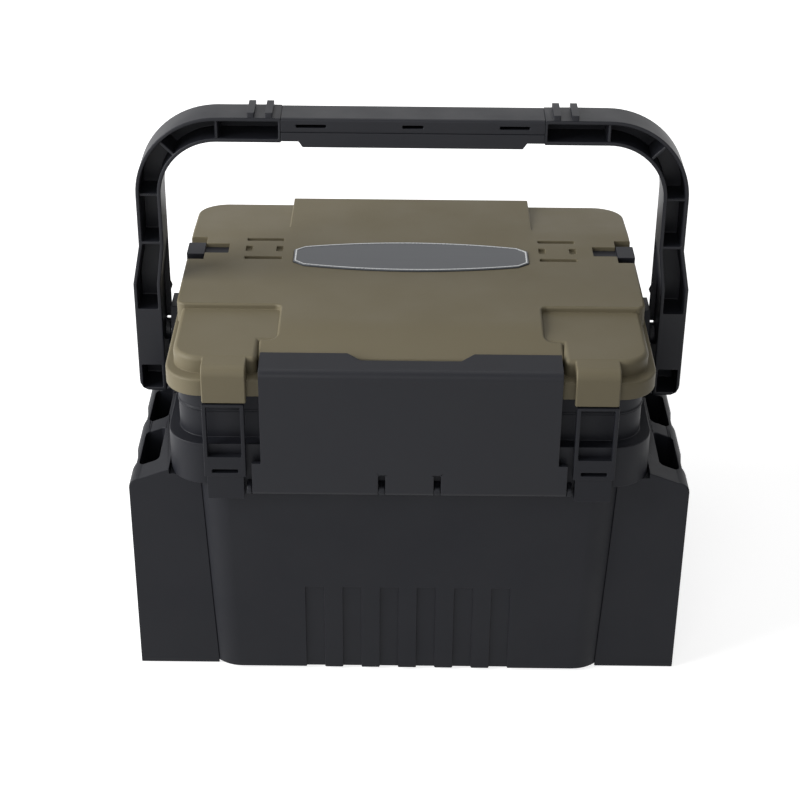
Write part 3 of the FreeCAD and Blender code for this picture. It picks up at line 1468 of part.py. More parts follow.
def grip_upper_shell():
    """The top half of the grip, with snap slots in its front."""
    shell = Moulding("grip_upper_shell")
    outside = box_outline(HANDLE_FRONT, HANDLE_BACK, GRIP_SPLIT, BAR_TOP)
    shell.add("X", -S.grip_half, S.grip_half, outside)
    shell.round_edges(S.grip_shell * 0.8, lambda edge: along(edge, "X") and flat_edge(edge, BAR_TOP))
    front, back, _, high = core_box()
    fit = S.grip_fit
    room = box_outline(front - fit, back + fit, GRIP_SPLIT, high + fit)
    shell.remove("X", -S.grip_half, S.grip_half, room)
    slot_top = BAR_TOP - S.grip_slot_drop + S.grip_slot_height
    slots = []
    for x, length in (
        (-S.grip_slot_x, S.grip_slot_long),
        (size(0), S.grip_slot_short),
        (S.grip_slot_x, S.grip_slot_long),
    ):
        slots.append(
            box_outline(x - length / 2, x + length / 2, BAR_TOP - S.grip_slot_drop, slot_top)
        )
    shell.remove("Y", HANDLE_FRONT, HANDLE_FRONT + S.grip_shell, *slots)
    return shell.body


def grip_lower_shell():
    """The bottom half of the grip, thicker along its middle."""
    shell = Moulding("grip_lower_shell")
    step = BAR_BOTTOM + 1
    low_half = S.grip_half - S.grip_low_cut
    profile = Outline(-S.grip_half, step).line(-low_half, step)
    profile.line(S.grip_shell - low_half, GRIP_BOTTOM)
    profile.line(low_half - S.grip_shell, GRIP_BOTTOM).line(low_half, step).line(S.grip_half, step)
    profile.line(S.grip_half, GRIP_SPLIT).line(-S.grip_half, GRIP_SPLIT)
    shell.add("Y", HANDLE_FRONT, HANDLE_BACK, profile)
    front, back, low, _ = core_box()
    fit = S.grip_fit
    room = box_outline(front - fit, back + fit, low - fit, GRIP_SPLIT)
    shell.remove("X", -S.grip_half, S.grip_half, room)
    return shell.body


def tray_sizes():
    """The tray's flange width, bin width, shared depth, bottom and top."""
    inset = 2 * (S.tub_wall + S.tray_gap)
    bottom = SHELF + S.tray_seat + S.tray_flange - S.tray_depth
    return NECK_WIDTH - inset, TUB_WIDTH - inset, NECK_DEPTH - inset, bottom, bottom + S.tray_depth


def lift_out_tray():
    """A tray that rests on the shelf by its side flanges, split by a wall with a finger hole."""
    tray = Moulding("lift_out_tray")
    flange, bins, depth, bottom, top = tray_sizes()
    tray.add("Z", top - S.tray_flange, top, centred_outline(flange, depth, S.tray_corner))
    tray.add("Z", bottom, top - S.tray_flange, centred_outline(bins, depth, S.tray_corner))
    wall, inner = S.tray_wall, bins / 2 - S.tray_wall
    front = S.centre_back - depth / 2 + wall
    back = S.centre_back + depth / 2 - wall
    room = round_outline(wall / 2, inner, front, back, S.tray_corner / 2)
    for side in SIDES:
        tray.remove("Z", bottom + wall, top, room.flip(side))
    groove_half = S.divider_thick / 2 + S.divider_gap
    for side in SIDES:
        y = divider_y(side)
        groove = box_outline(
            inner - S.divider_groove, inner + S.divider_groove, y - groove_half, y + groove_half
        )
        tray.remove("Z", bottom + wall, top, groove.flip(side))
    hole = round_outline(
        S.centre_back - S.finger_hole_half,
        S.centre_back + S.finger_hole_half,
        top - S.finger_hole_low,
        top - S.finger_hole_high,
        S.tray_corner / 4,
    )
    tray.remove("X", -wall, wall, hole)
    return tray.body


def divider_y(side):
    """Each compartment's divider stands a third of the way along."""
    depth = tray_sizes()[2]
    return S.centre_back + depth / 6 * side


def tray_divider(side):
    """A loose divider that drops into the tray's groove."""
    _, bins, _, bottom, top = tray_sizes()
    inner = S.tray_wall / 2 + S.divider_gap
    outer = bins / 2 - S.tray_wall + S.divider_groove - S.divider_gap
    y, half = divider_y(side), S.divider_thick / 2
    low = bottom + S.tray_wall + S.divider_gap
    name = f"{side_name(side)}_tray_divider"
    ends = side_span(side, inner, outer)
    return labelled(name, block(name, *ends, y - half, y + half, low, top - S.divider_drop))


def build():
    """Every sub-part of the crate."""
    pieces = [crate_body(), rack_screws(), tower_screws(), lid_shell(), lid_badge()]
    pieces += [foot(label, x, y) for label, (x, y) in foot_spots().items()]
    for side in SIDES:
        pieces += [side_rack(side), rod_socket(side), pivot_tower(side), handle_stopper(side)]
        pieces += [lid_hinge_pin(side), pivot_pin(side), pivot_clip(side), pivot_washer(side)]
        pieces.append(tray_divider(side))
    pieces += [front_latch(), latch_hinge_pin(), handle_frame()]
    pieces += [grip_upper_shell(), grip_lower_shell(), lift_out_tray()]
    doc.recompute()
    return pieces


def check(pieces):
    """Stops on a failed feature or a sub-part without a sound shape."""
    for item in doc.Objects:
        if "Invalid" in item.State or "Error" in item.State:
            raise ValueError(f"{item.Label} failed: {item.State}")
    for piece in pieces:
        if piece.Shape.isNull() or not piece.Shape.isValid():
            raise ValueError(f"{piece.Label} has no sound shape")


def export(pieces):
    """Writes each sub-part to its own STEP file."""
    os.makedirs("parts", exist_ok=True)
    for piece in pieces:
        piece.Shape.exportStep(f"parts/{piece.Label}.step")
        print(piece.Label, len(piece.Shape.Solids), round(piece.Shape.Volume / 1000, 2), "cm3")


pieces = build()
check(pieces)
export(pieces)
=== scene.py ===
"""Looks of a kayak fishing crate: a black moulded tub, an olive lid and a swinging handle."""

import math

import bmesh
import bpy
from bpy.props import FloatProperty, FloatVectorProperty, PointerProperty
from mathutils import Matrix, Vector


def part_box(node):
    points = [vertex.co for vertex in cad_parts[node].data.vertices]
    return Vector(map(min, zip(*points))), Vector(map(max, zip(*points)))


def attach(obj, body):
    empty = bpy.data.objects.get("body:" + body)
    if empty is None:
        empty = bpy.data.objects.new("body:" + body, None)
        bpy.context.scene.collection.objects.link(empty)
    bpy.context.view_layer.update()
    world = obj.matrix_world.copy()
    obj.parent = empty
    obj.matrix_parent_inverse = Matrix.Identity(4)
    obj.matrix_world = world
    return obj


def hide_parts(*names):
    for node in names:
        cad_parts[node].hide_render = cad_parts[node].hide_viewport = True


bl_info = {
    "name": "Kayak fishing crate",
    "version": (1, 0, 0),
    "blender": (4, 5, 0),
    "location": "View3D > Sidebar > Crate",
    "description": "Models the finish of a lidded fishing crate round its packed frame",
    "category": "Add Mesh",
}

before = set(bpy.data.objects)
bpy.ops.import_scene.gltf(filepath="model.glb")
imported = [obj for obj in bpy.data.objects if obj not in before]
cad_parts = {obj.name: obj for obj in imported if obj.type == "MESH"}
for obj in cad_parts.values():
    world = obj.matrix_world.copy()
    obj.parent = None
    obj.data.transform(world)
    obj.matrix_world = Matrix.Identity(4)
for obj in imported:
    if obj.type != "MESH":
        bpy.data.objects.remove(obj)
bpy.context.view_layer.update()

MM = 0.001
SIDES = (-1, 1)
# Points nearer than this, in metres, are at one place
TOUCH = 1e-6
# A cutting block reaches this far past the surface that it opens
PAST = 1 * MM
# Rooms cut one after the other overlap by this, so that no skin stays between them
OVERLAP = 0.5 * MM

# The lid's rim, plateau, front corners and slopes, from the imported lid's highest corner
LID_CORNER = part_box("lid_shell")[1]
MIDDLE_Y = 1 * MM
WALL = 3 * MM
RIM_HALF = LID_CORNER.x
RIM_DEPTH = 297 * MM
RIM_FRONT = MIDDLE_Y - RIM_DEPTH / 2
RIM_BACK = MIDDLE_Y + RIM_DEPTH / 2
RIM_ROUND = 28 * MM
LID_TOP = LID_CORNER.z
RIM_TOP = LID_TOP - 18 * MM
RIM_BOTTOM = RIM_TOP - 14 * MM
PLATEAU_HALF = RIM_HALF - 2 * MM
CENTRE_HALF = RIM_HALF - 84.5 * MM
CENTRE_FRONT = RIM_FRONT + 16.5 * MM
CORNER_STEP = RIM_FRONT + 90.5 * MM
DECK_TOP = LID_TOP - 4.5 * MM
DECK_HALF = RIM_HALF - 6 * MM
DECK_FRONT = RIM_FRONT + 10.5 * MM
DECK_ROUND = 22 * MM
DECK_CUT_HALF = RIM_HALF - 71 * MM
DECK_CUT_Y = RIM_FRONT + 39.5 * MM
CORNER_ROOM_TOP = LID_TOP - 12 * MM
SLOPE_MIDDLE = CENTRE_FRONT + 43.5 * MM
SLOPE_ROUND = 17 * MM
SLOPE_DROP = 8 * MM
RAMP_MIDDLE = RIM_BACK - 69.5 * MM
RAMP_DROP = 6.5 * MM
RAMP_STEP = 1 * MM

# The straps that leave the front corners, bend over the rim and end over the sockets
STRAP_INNER = 123.75 * MM
STRAP_OUTER = 157.25 * MM
STRAP_FRONT = RIM_FRONT - 5.5 * MM
STRAP_BOTTOM = RIM_BOTTOM - 3 * MM
STRAP_ROOT = DECK_FRONT + 14 * MM
STRAP_TOP = DECK_TOP - 0.05 * MM
STRAP_FALL = 0.8 * MM
STRAP_BEND = 8 * MM
STRAP_EDGE_ROUND = 1.2 * MM

# The badge, and the slots and holes beside it
BADGE_Y = 30.5 * MM
BADGE_SHOULDER = 88 * MM
BADGE_END = 97 * MM
BADGE_HALF = 18 * MM
BADGE_TIP = 11 * MM
BADGE_BOW = 9 * MM
BADGE_STEPS = 24
SLOT_Y = 45 * MM
SLOT_START = CENTRE_HALF + 4 * MM
SLOT_LENGTH = 31 * MM
SLOT_HALF = 2.5 * MM
SLOT_SPREAD = 17.5 * MM
SLOT_ROUND = 1.2 * MM
SLOT_DEPTH = 2.6 * MM
HOLE_LENGTH = 5.5 * MM
HOLE_HALF = 5 * MM
HOLE_ROUND = 1 * MM

# The stoppers' notches: inner end, outer end and half width
STOPPER_NOTCHES = ((151.7 * MM, 172 * MM, 8.8 * MM), (171.2 * MM, 190 * MM, 21 * MM))
STOPPER_DEPTH = 8.3 * MM

# The hinge at the lid's back, and the notches that clear the tub's ears
HINGE_Y = 149 * MM
HINGE_Z = 284 * MM
KNUCKLE_X = 68 * MM
KNUCKLE_RADIUS = 6 * MM
KNUCKLE_LENGTH = 35.2 * MM
EAR_STARTS = (40 * MM, 86 * MM)
EAR_WIDTH = 10 * MM
EAR_PLAY = 0.4 * MM
EAR_FRONT = 142 * MM
EAR_TOP = 291 * MM
BETWEEN_EARS = (-100 * MM, -37 * MM, 37 * MM, 100 * MM)

# The latch's two slots, through which the hinge's lugs show
LATCH_SLOT_X = 21.4 * MM
LATCH_SLOT_TOP = 199.5 * MM

# Sizes of the materials' patterns. The last three are finer on the real crate, and are drawn as
# coarse as they need to be to show.
FLOW_MARK = 111 * MM
HANDLED_PATCH = 43.5 * MM
BRUSHED_LENGTH = 55.6 * MM
BRUSHED_WIDTH = 1.282 * MM
TURNED_RING = 1.11 * MM
DUST_SPECK = 2.38 * MM

# The studio: where the lamps aim, and each lamp's name, place, size and power
LAMP_AIM = (0, 0, 0.2)
LAMPS = (
    ("key_lamp", (-1.9, -0.6, 1.1), 1.4, 64),
    ("front_lamp", (-0.4, -2.0, 1.0), 1.0, 7),
    ("top_lamp", (-0.2, 0.3, 2.1), 1.6, 10),
)
AMBIENT = 0.13
CAMERA_PLACE = (-7.91 * MM, -1365.0 * MM, 965.27 * MM)
CAMERA_PITCH = 30
CAMERA_ROLL = 0.57
IMAGE_WIDTH = 800
FOCAL_PIXELS = 1865.4
FLOOR_HALF = 6


def linear(text):
    """A colour written as sRGB hex, as the linear values that shaders use."""
    values = [int(text[start : start + 2], 16) / 255 for start in (1, 3, 5)]
    return [v / 12.92 if v <= 0.04045 else ((v + 0.055) / 1.055) ** 2.4 for v in values]


class CrateSizes(bpy.types.PropertyGroup):
    """Roundings, and the moulds' grain, that a user may change."""

    edge_round: FloatProperty(
        name="Edge round",
        description="Radius of the small edges on the black mouldings",
        default=0.7 * MM,
        unit="LENGTH",
    )
    lid_round: FloatProperty(
        name="Lid round",
        description="Radius of the edges round the lid's plateau and rim",
        default=2 * MM,
        unit="LENGTH",
    )
    deck_round: FloatProperty(
        name="Deck round",
        description="Radius of the soft edges of the lid's front corners",
        default=6 * MM,
        unit="LENGTH",
    )
    grain: FloatProperty(
        name="Grain",
        description="Size of the moulds' spark grain, drawn as coarse as a render can show",
        default=1.6 * MM,
        unit="LENGTH",
    )


class CrateColours(bpy.types.PropertyGroup):
    """Colours of the crate's materials."""

    tub: FloatVectorProperty(
        name="Tub",
        description="Copolymer of the tub and its fittings",
        subtype="COLOR",
        default=linear("#191A1F"),
    )
    lid: FloatVectorProperty(
        name="Lid", description="Copolymer of the lid", subtype="COLOR", default=linear("#6A6350")
    )
    handle: FloatVectorProperty(
        name="Handle",
        description="Glass-filled nylon of the handle and latch",
        subtype="COLOR",
        default=linear("#1C1D22"),
    )
    badge: FloatVectorProperty(
        name="Badge",
        description="Lacquered plate set in the lid",
        subtype="COLOR",
        default=linear("#3F4247"),
    )


def settings():
    """The user's sizes and colours."""
    scene = bpy.context.scene
    return scene.crate_sizes, scene.crate_colours


def add_node(tree, kind, values=None, links=None, **options):
    """Adds a shader node, sets its options and inputs, and links it from other nodes."""
    node = tree.nodes.new(kind)
    for name, value in options.items():
        setattr(node, name, value)
    for name, value in (values or {}).items():
        node.inputs[name].default_value = value
    for name, (source, output) in (links or {}).items():
        tree.links.new(source.outputs[output], node.inputs[name])
    return node


def fresh_material(name):
    """An empty material with its surface shader and a node for Object coordinates."""
    material = bpy.data.materials.new(name)
    material.use_nodes = True
    tree = material.node_tree
    shader = tree.nodes["Principled BSDF"]
    place = add_node(tree, "ShaderNodeTexCoord")
    return material, tree, shader, place


def moulded_plastic(name, colour, roughness, grain_depth, shade=0.12, sheen=0.18):
    """Injection-moulded plastic with a spark-eroded grain and faint flow marks.

    The grain breaks the highlights up softly and takes most of the sheen, the flow marks shift
    the colour a little, and handling polishes some patches.
    """
    sizes, _ = settings()
    material, tree, shader, place = fresh_material(name)
    shader.inputs["IOR"].default_value = 1.5
    shader.inputs["Specular IOR Level"].default_value = sheen
    flow = add_node(
        tree,
        "ShaderNodeTexNoise",
        {"Scale": 1 / FLOW_MARK, "Detail": 4, "Roughness": 0.55},
        {"Vector": (place, "Object")},
    )
    dark = [value * (1 - shade) for value in colour]
    pale = [min(value * (1 + shade), 1) for value in colour]
    tint = add_node(tree, "ShaderNodeMix", data_type="RGBA")
    tint.inputs[6].default_value = (*dark, 1)
    tint.inputs[7].default_value = (*pale, 1)
    tree.links.new(flow.outputs["Fac"], tint.inputs[0])
    tree.links.new(tint.outputs[2], shader.inputs["Base Color"])
    wear = add_node(
        tree,
        "ShaderNodeTexNoise",
        {"Scale": 1 / HANDLED_PATCH, "Detail": 3},
        {"Vector": (place, "Object")},
    )
    polish = add_node(
        tree,
        "ShaderNodeMapRange",
        {"From Min": 0.3, "From Max": 0.7, "To Min": roughness - 0.06, "To Max": roughness + 0.06},
        {"Value": (wear, "Fac")},
    )
    tree.links.new(polish.outputs["Result"], shader.inputs["Roughness"])
    grain = add_node(
        tree,
        "ShaderNodeTexNoise",
        {"Scale": 1 / sizes.grain, "Detail": 2},
        {"Vector": (place, "Object")},
    )
    bump = add_node(
        tree,
        "ShaderNodeBump",
        {"Strength": 0.35, "Distance": grain_depth},
        {"Height": (grain, "Fac")},
    )
    tree.links.new(bump.outputs["Normal"], shader.inputs["Normal"])
    return material


def tub_copolymer():
    """Carbon-black polypropylene copolymer from a spark-grained mould: dark, slightly blue."""
    _, colours = settings()
    return moulded_plastic("tub_polypropylene", colours.tub, 0.5, 0.12 * MM)


def lid_copolymer():
    """Olive polypropylene copolymer with the same grain: soft sheen, no gloss."""
    _, colours = settings()
    return moulded_plastic("lid_polypropylene", colours.lid, 0.52, 0.12 * MM, 0.05)


def filled_nylon():
    """Glass-filled nylon, moulded smooth: a tighter highlight than the tub's grain gives."""
    _, colours = settings()
    return moulded_plastic("handle_nylon", colours.handle, 0.42, 0.06 * MM, sheen=0.22)


def badge_lacquer():
    """Lacquered polycarbonate plate, brushed along its length under the lacquer."""
    _, colours = settings()
    material, tree, shader, place = fresh_material("badge_lacquered_plate")
    shader.inputs["Metallic"].default_value = 0.2
    shader.inputs["Roughness"].default_value = 0.34
    scale = (1 / BRUSHED_LENGTH, 1 / BRUSHED_WIDTH, 1 / BRUSHED_LENGTH)
    stretch = add_node(tree, "ShaderNodeMapping", {"Scale": scale}, {"Vector": (place, "Object")})
    streaks = add_node(
        tree, "ShaderNodeTexNoise", {"Scale": 1, "Detail": 3}, {"Vector": (stretch, "Vector")}
    )
    tint = add_node(tree, "ShaderNodeMix", data_type="RGBA")
    tint.inputs[6].default_value = (*[value * 0.86 for value in colours.badge], 1)
    tint.inputs[7].default_value = (*[value * 1.12 for value in colours.badge], 1)
    tree.links.new(streaks.outputs["Fac"], tint.inputs[0])
    tree.links.new(tint.outputs[2], shader.inputs["Base Color"])
    return material


def fine_steel(name, colour):
    """Turned or rolled steel: a fine texture breaks its highlight a little."""
    material, tree, shader, place = fresh_material(name)
    shader.inputs["Base Color"].default_value = (*linear(colour), 1)
    shader.inputs["Metallic"].default_value = 1
    rings = add_node(
        tree,
        "ShaderNodeTexNoise",
        {"Scale": 1 / TURNED_RING, "Detail": 2},
        {"Vector": (place, "Object")},
    )
    rough = add_node(
        tree,
        "ShaderNodeMapRange",
        {"From Min": 0.3, "From Max": 0.7, "To Min": 0.22, "To Max": 0.36},
        {"Value": (rings, "Fac")},
    )
    tree.links.new(rough.outputs["Result"], shader.inputs["Roughness"])
    return material


def foot_rubber():
    """Thermoplastic rubber: matt, deep black and faintly dusty."""
    material, tree, shader, place = fresh_material("foot_rubber")
    shader.inputs["Roughness"].default_value = 0.85
    shader.inputs["Base Color"].default_value = (*linear("#17171A"), 1)
    dust = add_node(
        tree,
        "ShaderNodeTexNoise",
        {"Scale": 1 / DUST_SPECK, "Detail": 3},
        {"Vector": (place, "Object")},
    )
    bump = add_node(
        tree,
        "ShaderNodeBump",
        {"Strength": 0.4, "Distance": 0.1 * MM},
        {"Height": (dust, "Fac")},
    )
    tree.links.new(bump.outputs["Normal"], shader.inputs["Normal"])
    return material


def new_piece(name, bm, material):
    """Turns a bmesh into a piece with its normals outward."""
    bmesh.ops.remove_doubles(bm, verts=bm.verts, dist=0.01 * MM)
    bmesh.ops.recalc_face_normals(bm, faces=bm.faces)
    mesh = bpy.data.meshes.new(name)
    bm.to_mesh(mesh)
    bm.free()
    piece = bpy.data.objects.new(name, mesh)
    bpy.context.scene.collection.objects.link(piece)
    if material:
        mesh.materials.append(material)
    return piece


def apply_modifiers(piece):
    """Bakes a piece's modifiers into its mesh."""
    bpy.context.view_layer.update()
    graph = bpy.context.evaluated_depsgraph_get()
    mesh = bpy.data.meshes.new_from_object(piece.evaluated_get(graph))
    piece.modifiers.clear()
    old, piece.data = piece.data, mesh
    mesh.name = old.name
    bpy.data.meshes.remove(old)


def combine(piece, tool, operation):
    """Unites a piece with a tool or cuts the tool out of it, and drops the tool."""
    modifier = piece.modifiers.new(operation.lower(), "BOOLEAN")
    modifier.operation = operation
    modifier.solver = "EXACT"
    modifier.object = tool
    apply_modifiers(piece)
    bpy.data.objects.remove(tool)


def soften(piece, width, angle=32):
    """Rounds the sharp edges a little and keeps the broad faces flat in the shading."""
    bevel = piece.modifiers.new("edge_round", "BEVEL")
    bevel.width = width
    bevel.segments = 2
    bevel.limit_method = "ANGLE"
    bevel.angle_limit = math.radians(angle)
    bevel.use_clamp_overlap = False
    bevel.miter_outer = "MITER_ARC"
    for polygon in piece.data.polygons:
        polygon.use_smooth = True
    normals = piece.modifiers.new("flat_faces", "WEIGHTED_NORMAL")
    normals.keep_sharp = True
    normals.weight = 100


def softened_copy(node, name, material, width, body, slot, cuts=()):
    """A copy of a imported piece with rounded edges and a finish, standing for that piece.

    Cuts are pairs of places and an axis. They divide broad faces that have holes, which would
    otherwise show lines where the rounded edges meet them.
    """
    bm = bmesh.new()
    bm.from_mesh(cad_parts[node].data)
    bmesh.ops.remove_doubles(bm, verts=bm.verts, dist=0.01 * MM)
    for stations, axis in cuts:
        cut_lines(bm, stations, axis)
    piece = new_piece(name, bm, material)
    soften(piece, width)
    settle(piece, body, slot, node)


def settle(piece, body, slot, *nodes):
    """Says which body a piece rides on, and the nodes it stands for. The slot is not used."""
    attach(piece, body)
    if nodes:
        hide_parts(*nodes)


# For a block along Z or X: the two axes of its outline, and the axis that it runs along
AXES = {"Z": (0, 1, 2), "X": (1, 2, 0)}


def prism(corners, low, high, axis="Z", rounds=None, end_round=0, segments=4):
    """A straight-sided block through corners, with its long edges and its high end rounded."""
    first, second, along = AXES[axis]
    bm = bmesh.new()
    verts = []
    for corner in corners:
        place = [0, 0, 0]
        place[first], place[second], place[along] = corner[0], corner[1], low
        verts.append(bm.verts.new(place))
    face = bm.faces.new(verts)
    shift = [0, 0, 0]
    shift[along] = high - low
    grown = bmesh.ops.extrude_face_region(bm, geom=[face])
    moved = [item for item in grown["geom"] if isinstance(item, bmesh.types.BMVert)]
    bmesh.ops.translate(bm, verts=moved, vec=shift)
    bmesh.ops.recalc_face_normals(bm, faces=bm.faces)
    for corner, radius in zip(corners, rounds or []):
        if radius:
            edges = [edge for edge in bm.edges if stands_at(edge, corner, first, second)]
            round_off(bm, edges, radius, max(segments, int(radius / MM / 2)))
    if end_round:
        edges = [edge for edge in bm.edges if lies_at(edge, high, along)]
        round_off(bm, edges, end_round, segments)
    return bm


def stands_at(edge, corner, first, second):
    """Does an edge run along the block at a corner?"""
    return lies_at(edge, corner[0], first) and lies_at(edge, corner[1], second)


def lies_at(edge, place, axis):
    """Does an edge lie wholly at a place along an axis?"""
    return all(abs(v.co[axis] - place) < TOUCH for v in edge.verts)


def round_off(bm, edges, radius, segments):
    """Rounds edges with a circular profile."""
    bmesh.ops.bevel(
        bm,
        geom=edges,
        offset=radius,
        offset_type="OFFSET",
        affect="EDGES",
        segments=segments,
        profile=0.5,
        material=-1,
        clamp_overlap=True,
    )


def box_corners(x0, x1, y0, y1):
    """The corners of a rectangle, in order round it."""
    return [(x0, y0), (x1, y0), (x1, y1), (x0, y1)]


def cut_lines(bm, stations, axis):
    """Divides the faces at places along an axis, so that they can bend there or stay simple."""
    normal = [0, 0, 0]
    normal[axis] = 1
    for station in stations:
        point = [0, 0, 0]
        point[axis] = station
        geom = bm.verts[:] + bm.edges[:] + bm.faces[:]
        bmesh.ops.bisect_plane(bm, geom=geom, dist=1e-7, plane_co=point, plane_no=normal)


def bend_drop(distance, width, slope):
    """How far a surface has dropped past a rounded crease, at a signed distance from it."""
    if distance <= -width / 2:
        return 0
    if distance >= width / 2:
        return slope * distance
    return slope * (distance + width / 2) ** 2 / (2 * width)


def lid_drop(x, y):
    """How far the lid's top lies below the plateau, towards the front and at the rear corners."""
    front = bend_drop(SLOPE_MIDDLE - y, SLOPE_ROUND, SLOPE_DROP / (SLOPE_MIDDLE - CENTRE_FRONT))
    if abs(x) < CENTRE_HALF + RAMP_STEP / 5:
        return front
    return front + bend_drop(y - RAMP_MIDDLE, SLOPE_ROUND, RAMP_DROP / (RIM_BACK - RAMP_MIDDLE))


def both_halves(right, radii):
    """An outline and its corner radii, from its right half and that half mirrored."""
    return right + [(-x, y) for x, y in reversed(right)], radii + radii[::-1]


def plateau_block():
    """The lid's high part: a wide plateau whose middle runs on to the front."""
    sizes, _ = settings()
    front, cut, step = CENTRE_FRONT, DECK_CUT_Y, CORNER_STEP
    wide, centre, half = DECK_CUT_HALF, CENTRE_HALF, PLATEAU_HALF
    right = [(wide, front), (wide, cut), (centre, cut), (centre, step), (half, step), (half, RIM_BACK)]
    radii = [5 * MM, 2 * MM, 8 * MM, 5 * MM, 7 * MM, 26 * MM]
    corners, rounds = both_halves(right, radii)
    bm = prism(corners, RIM_TOP - WALL, LID_TOP, "Z", rounds, sizes.lid_round)
    for middle in (SLOPE_MIDDLE, RAMP_MIDDLE):
        cut_lines(bm, [middle + SLOPE_ROUND * part for part in (-0.5, -0.25, 0, 0.25, 0.5)], 1)
    for edge in (CENTRE_HALF, CENTRE_HALF + RAMP_STEP):
        cut_lines(bm, [side * edge for side in SIDES], 0)
    for vert in bm.verts:
        if vert.co.z > RIM_TOP + WALL:
            vert.co.z -= lid_drop(vert.co.x, vert.co.y)
    return new_piece("plateau_block", bm, None)


def deck_block(side):
    """A soft-edged block on a front corner, a little lower than the plateau."""
    sizes, _ = settings()
    back, inner = CORNER_STEP + WALL, CENTRE_HALF - WALL
    corners = [
        (DECK_CUT_HALF, DECK_FRONT),
        (DECK_HALF, DECK_FRONT),
        (DECK_HALF, back),
        (inner, back),
        (inner, DECK_CUT_Y),
        (DECK_CUT_HALF, DECK_CUT_Y),
    ]
    corners = [(x * side, y) for x, y in corners]
    rounds = [4 * MM, DECK_ROUND, 0, 0, 0, 0]
    bm = prism(corners, RIM_TOP - WALL, DECK_TOP, "Z", rounds, sizes.deck_round, 6)
    return new_piece("deck_block", bm, None)


def lid_body():
    """The lid's outside as one closed solid."""
    sizes, _ = settings()
    corners = box_corners(-RIM_HALF, RIM_HALF, RIM_FRONT, RIM_BACK)
    rim = prism(corners, RIM_BOTTOM, RIM_TOP, "Z", [RIM_ROUND] * 4, sizes.lid_round)
    lid = new_piece("lid", rim, lid_copolymer())
    combine(lid, plateau_block(), "UNION")
    for side in SIDES:
        combine(lid, deck_block(side), "UNION")
        combine(lid, strap_block(side), "UNION")
    return lid


def strap_block(side):
    """A strap that leaves a front corner flat, bends over the rim and goes down to the socket."""
    profile = [
        (STRAP_FRONT, STRAP_BOTTOM),
        (STRAP_FRONT + WALL, STRAP_BOTTOM),
        (STRAP_FRONT + WALL, RIM_TOP - WALL / 2),
        (STRAP_ROOT, RIM_TOP - WALL / 2),
        (STRAP_ROOT, STRAP_TOP),
        (STRAP_FRONT, STRAP_TOP - STRAP_FALL),
    ]
    rounds = [0, 0, 0, 0, 0, STRAP_BEND]
    low, high = sorted((STRAP_INNER * side, STRAP_OUTER * side))
    bm = prism(profile, low, high, "X", rounds, 0, 6)
    long_edges = [edge for edge in bm.edges if outer_strap_edge(edge, low, high)]
    round_off(bm, long_edges, STRAP_EDGE_ROUND, 3)
    return new_piece("strap_block", bm, None)


def outer_strap_edge(edge, low, high):
    """The strap's side edges that show, on its front and top."""
    on_side = lies_at(edge, low, 0) or lies_at(edge, high, 0)
    inward = all(v.co.z < RIM_TOP and v.co.y > RIM_FRONT - 5 * MM for v in edge.verts)
    return on_side and not inward


def badge_corners(grow):
    """The badge's outline: bowed long edges between narrow, blunt ends."""
    high, tip, end = BADGE_HALF + grow, BADGE_TIP + grow / 2, BADGE_END + grow
    top = []
    for step in range(BADGE_STEPS + 1):
        across = 1 - 2 * step / BADGE_STEPS
        top.append((across * BADGE_SHOULDER, BADGE_Y + high + BADGE_BOW * (1 - across**2)))
    corners = [(end, BADGE_Y - tip), (end, BADGE_Y + tip)] + top
    corners += [(-end, BADGE_Y + tip), (-end, BADGE_Y - tip)]
    corners += [(x, 2 * BADGE_Y - y) for x, y in reversed(top)]
    return corners


def cut_block(lid, name, side, place, low, high, rounds=None):
    """Cuts a block out of the lid on one side. Its place is given for the right side."""
    x0, x1, y0, y1 = place
    left, right = sorted((x0 * side, x1 * side))
    block = prism(box_corners(left, right, y0, y1), low, high, "Z", rounds)
    combine(lid, new_piece(name, block, None), "DIFFERENCE")


def cut_lid_details(lid):
    """Badge seat, accessory slots, stopper notches and hinge notches."""
    above = LID_TOP + PAST
    seat = prism(badge_corners(0.2 * MM), LID_TOP - 0.8 * MM, above)
    combine(lid, new_piece("badge_seat", seat, None), "DIFFERENCE")
    slot_end = SLOT_START + SLOT_LENGTH
    for side in SIDES:
        for middle in (SLOT_Y - SLOT_SPREAD, SLOT_Y + SLOT_SPREAD):
            place = (SLOT_START, slot_end, middle - SLOT_HALF, middle + SLOT_HALF)
            cut_block(lid, "slot", side, place, LID_TOP - SLOT_DEPTH, above, [SLOT_ROUND] * 4)
        for start in (SLOT_START, slot_end - HOLE_LENGTH):
            place = (start, start + HOLE_LENGTH, SLOT_Y - HOLE_HALF, SLOT_Y + HOLE_HALF)
            cut_block(lid, "slot", side, place, LID_TOP - SLOT_DEPTH, above, [HOLE_ROUND] * 4)
        for x0, x1, reach in STOPPER_NOTCHES:
            place = (x0, x1, SLOT_Y - reach, SLOT_Y + reach)
            cut_block(lid, "notch", side, place, LID_TOP - STOPPER_DEPTH, above)
        for start in EAR_STARTS:
            place = (start - EAR_PLAY, start + EAR_WIDTH + EAR_PLAY, EAR_FRONT, RIM_BACK + PAST)
            cut_block(lid, "ear_notch", side, place, RIM_BOTTOM - PAST, EAR_TOP)


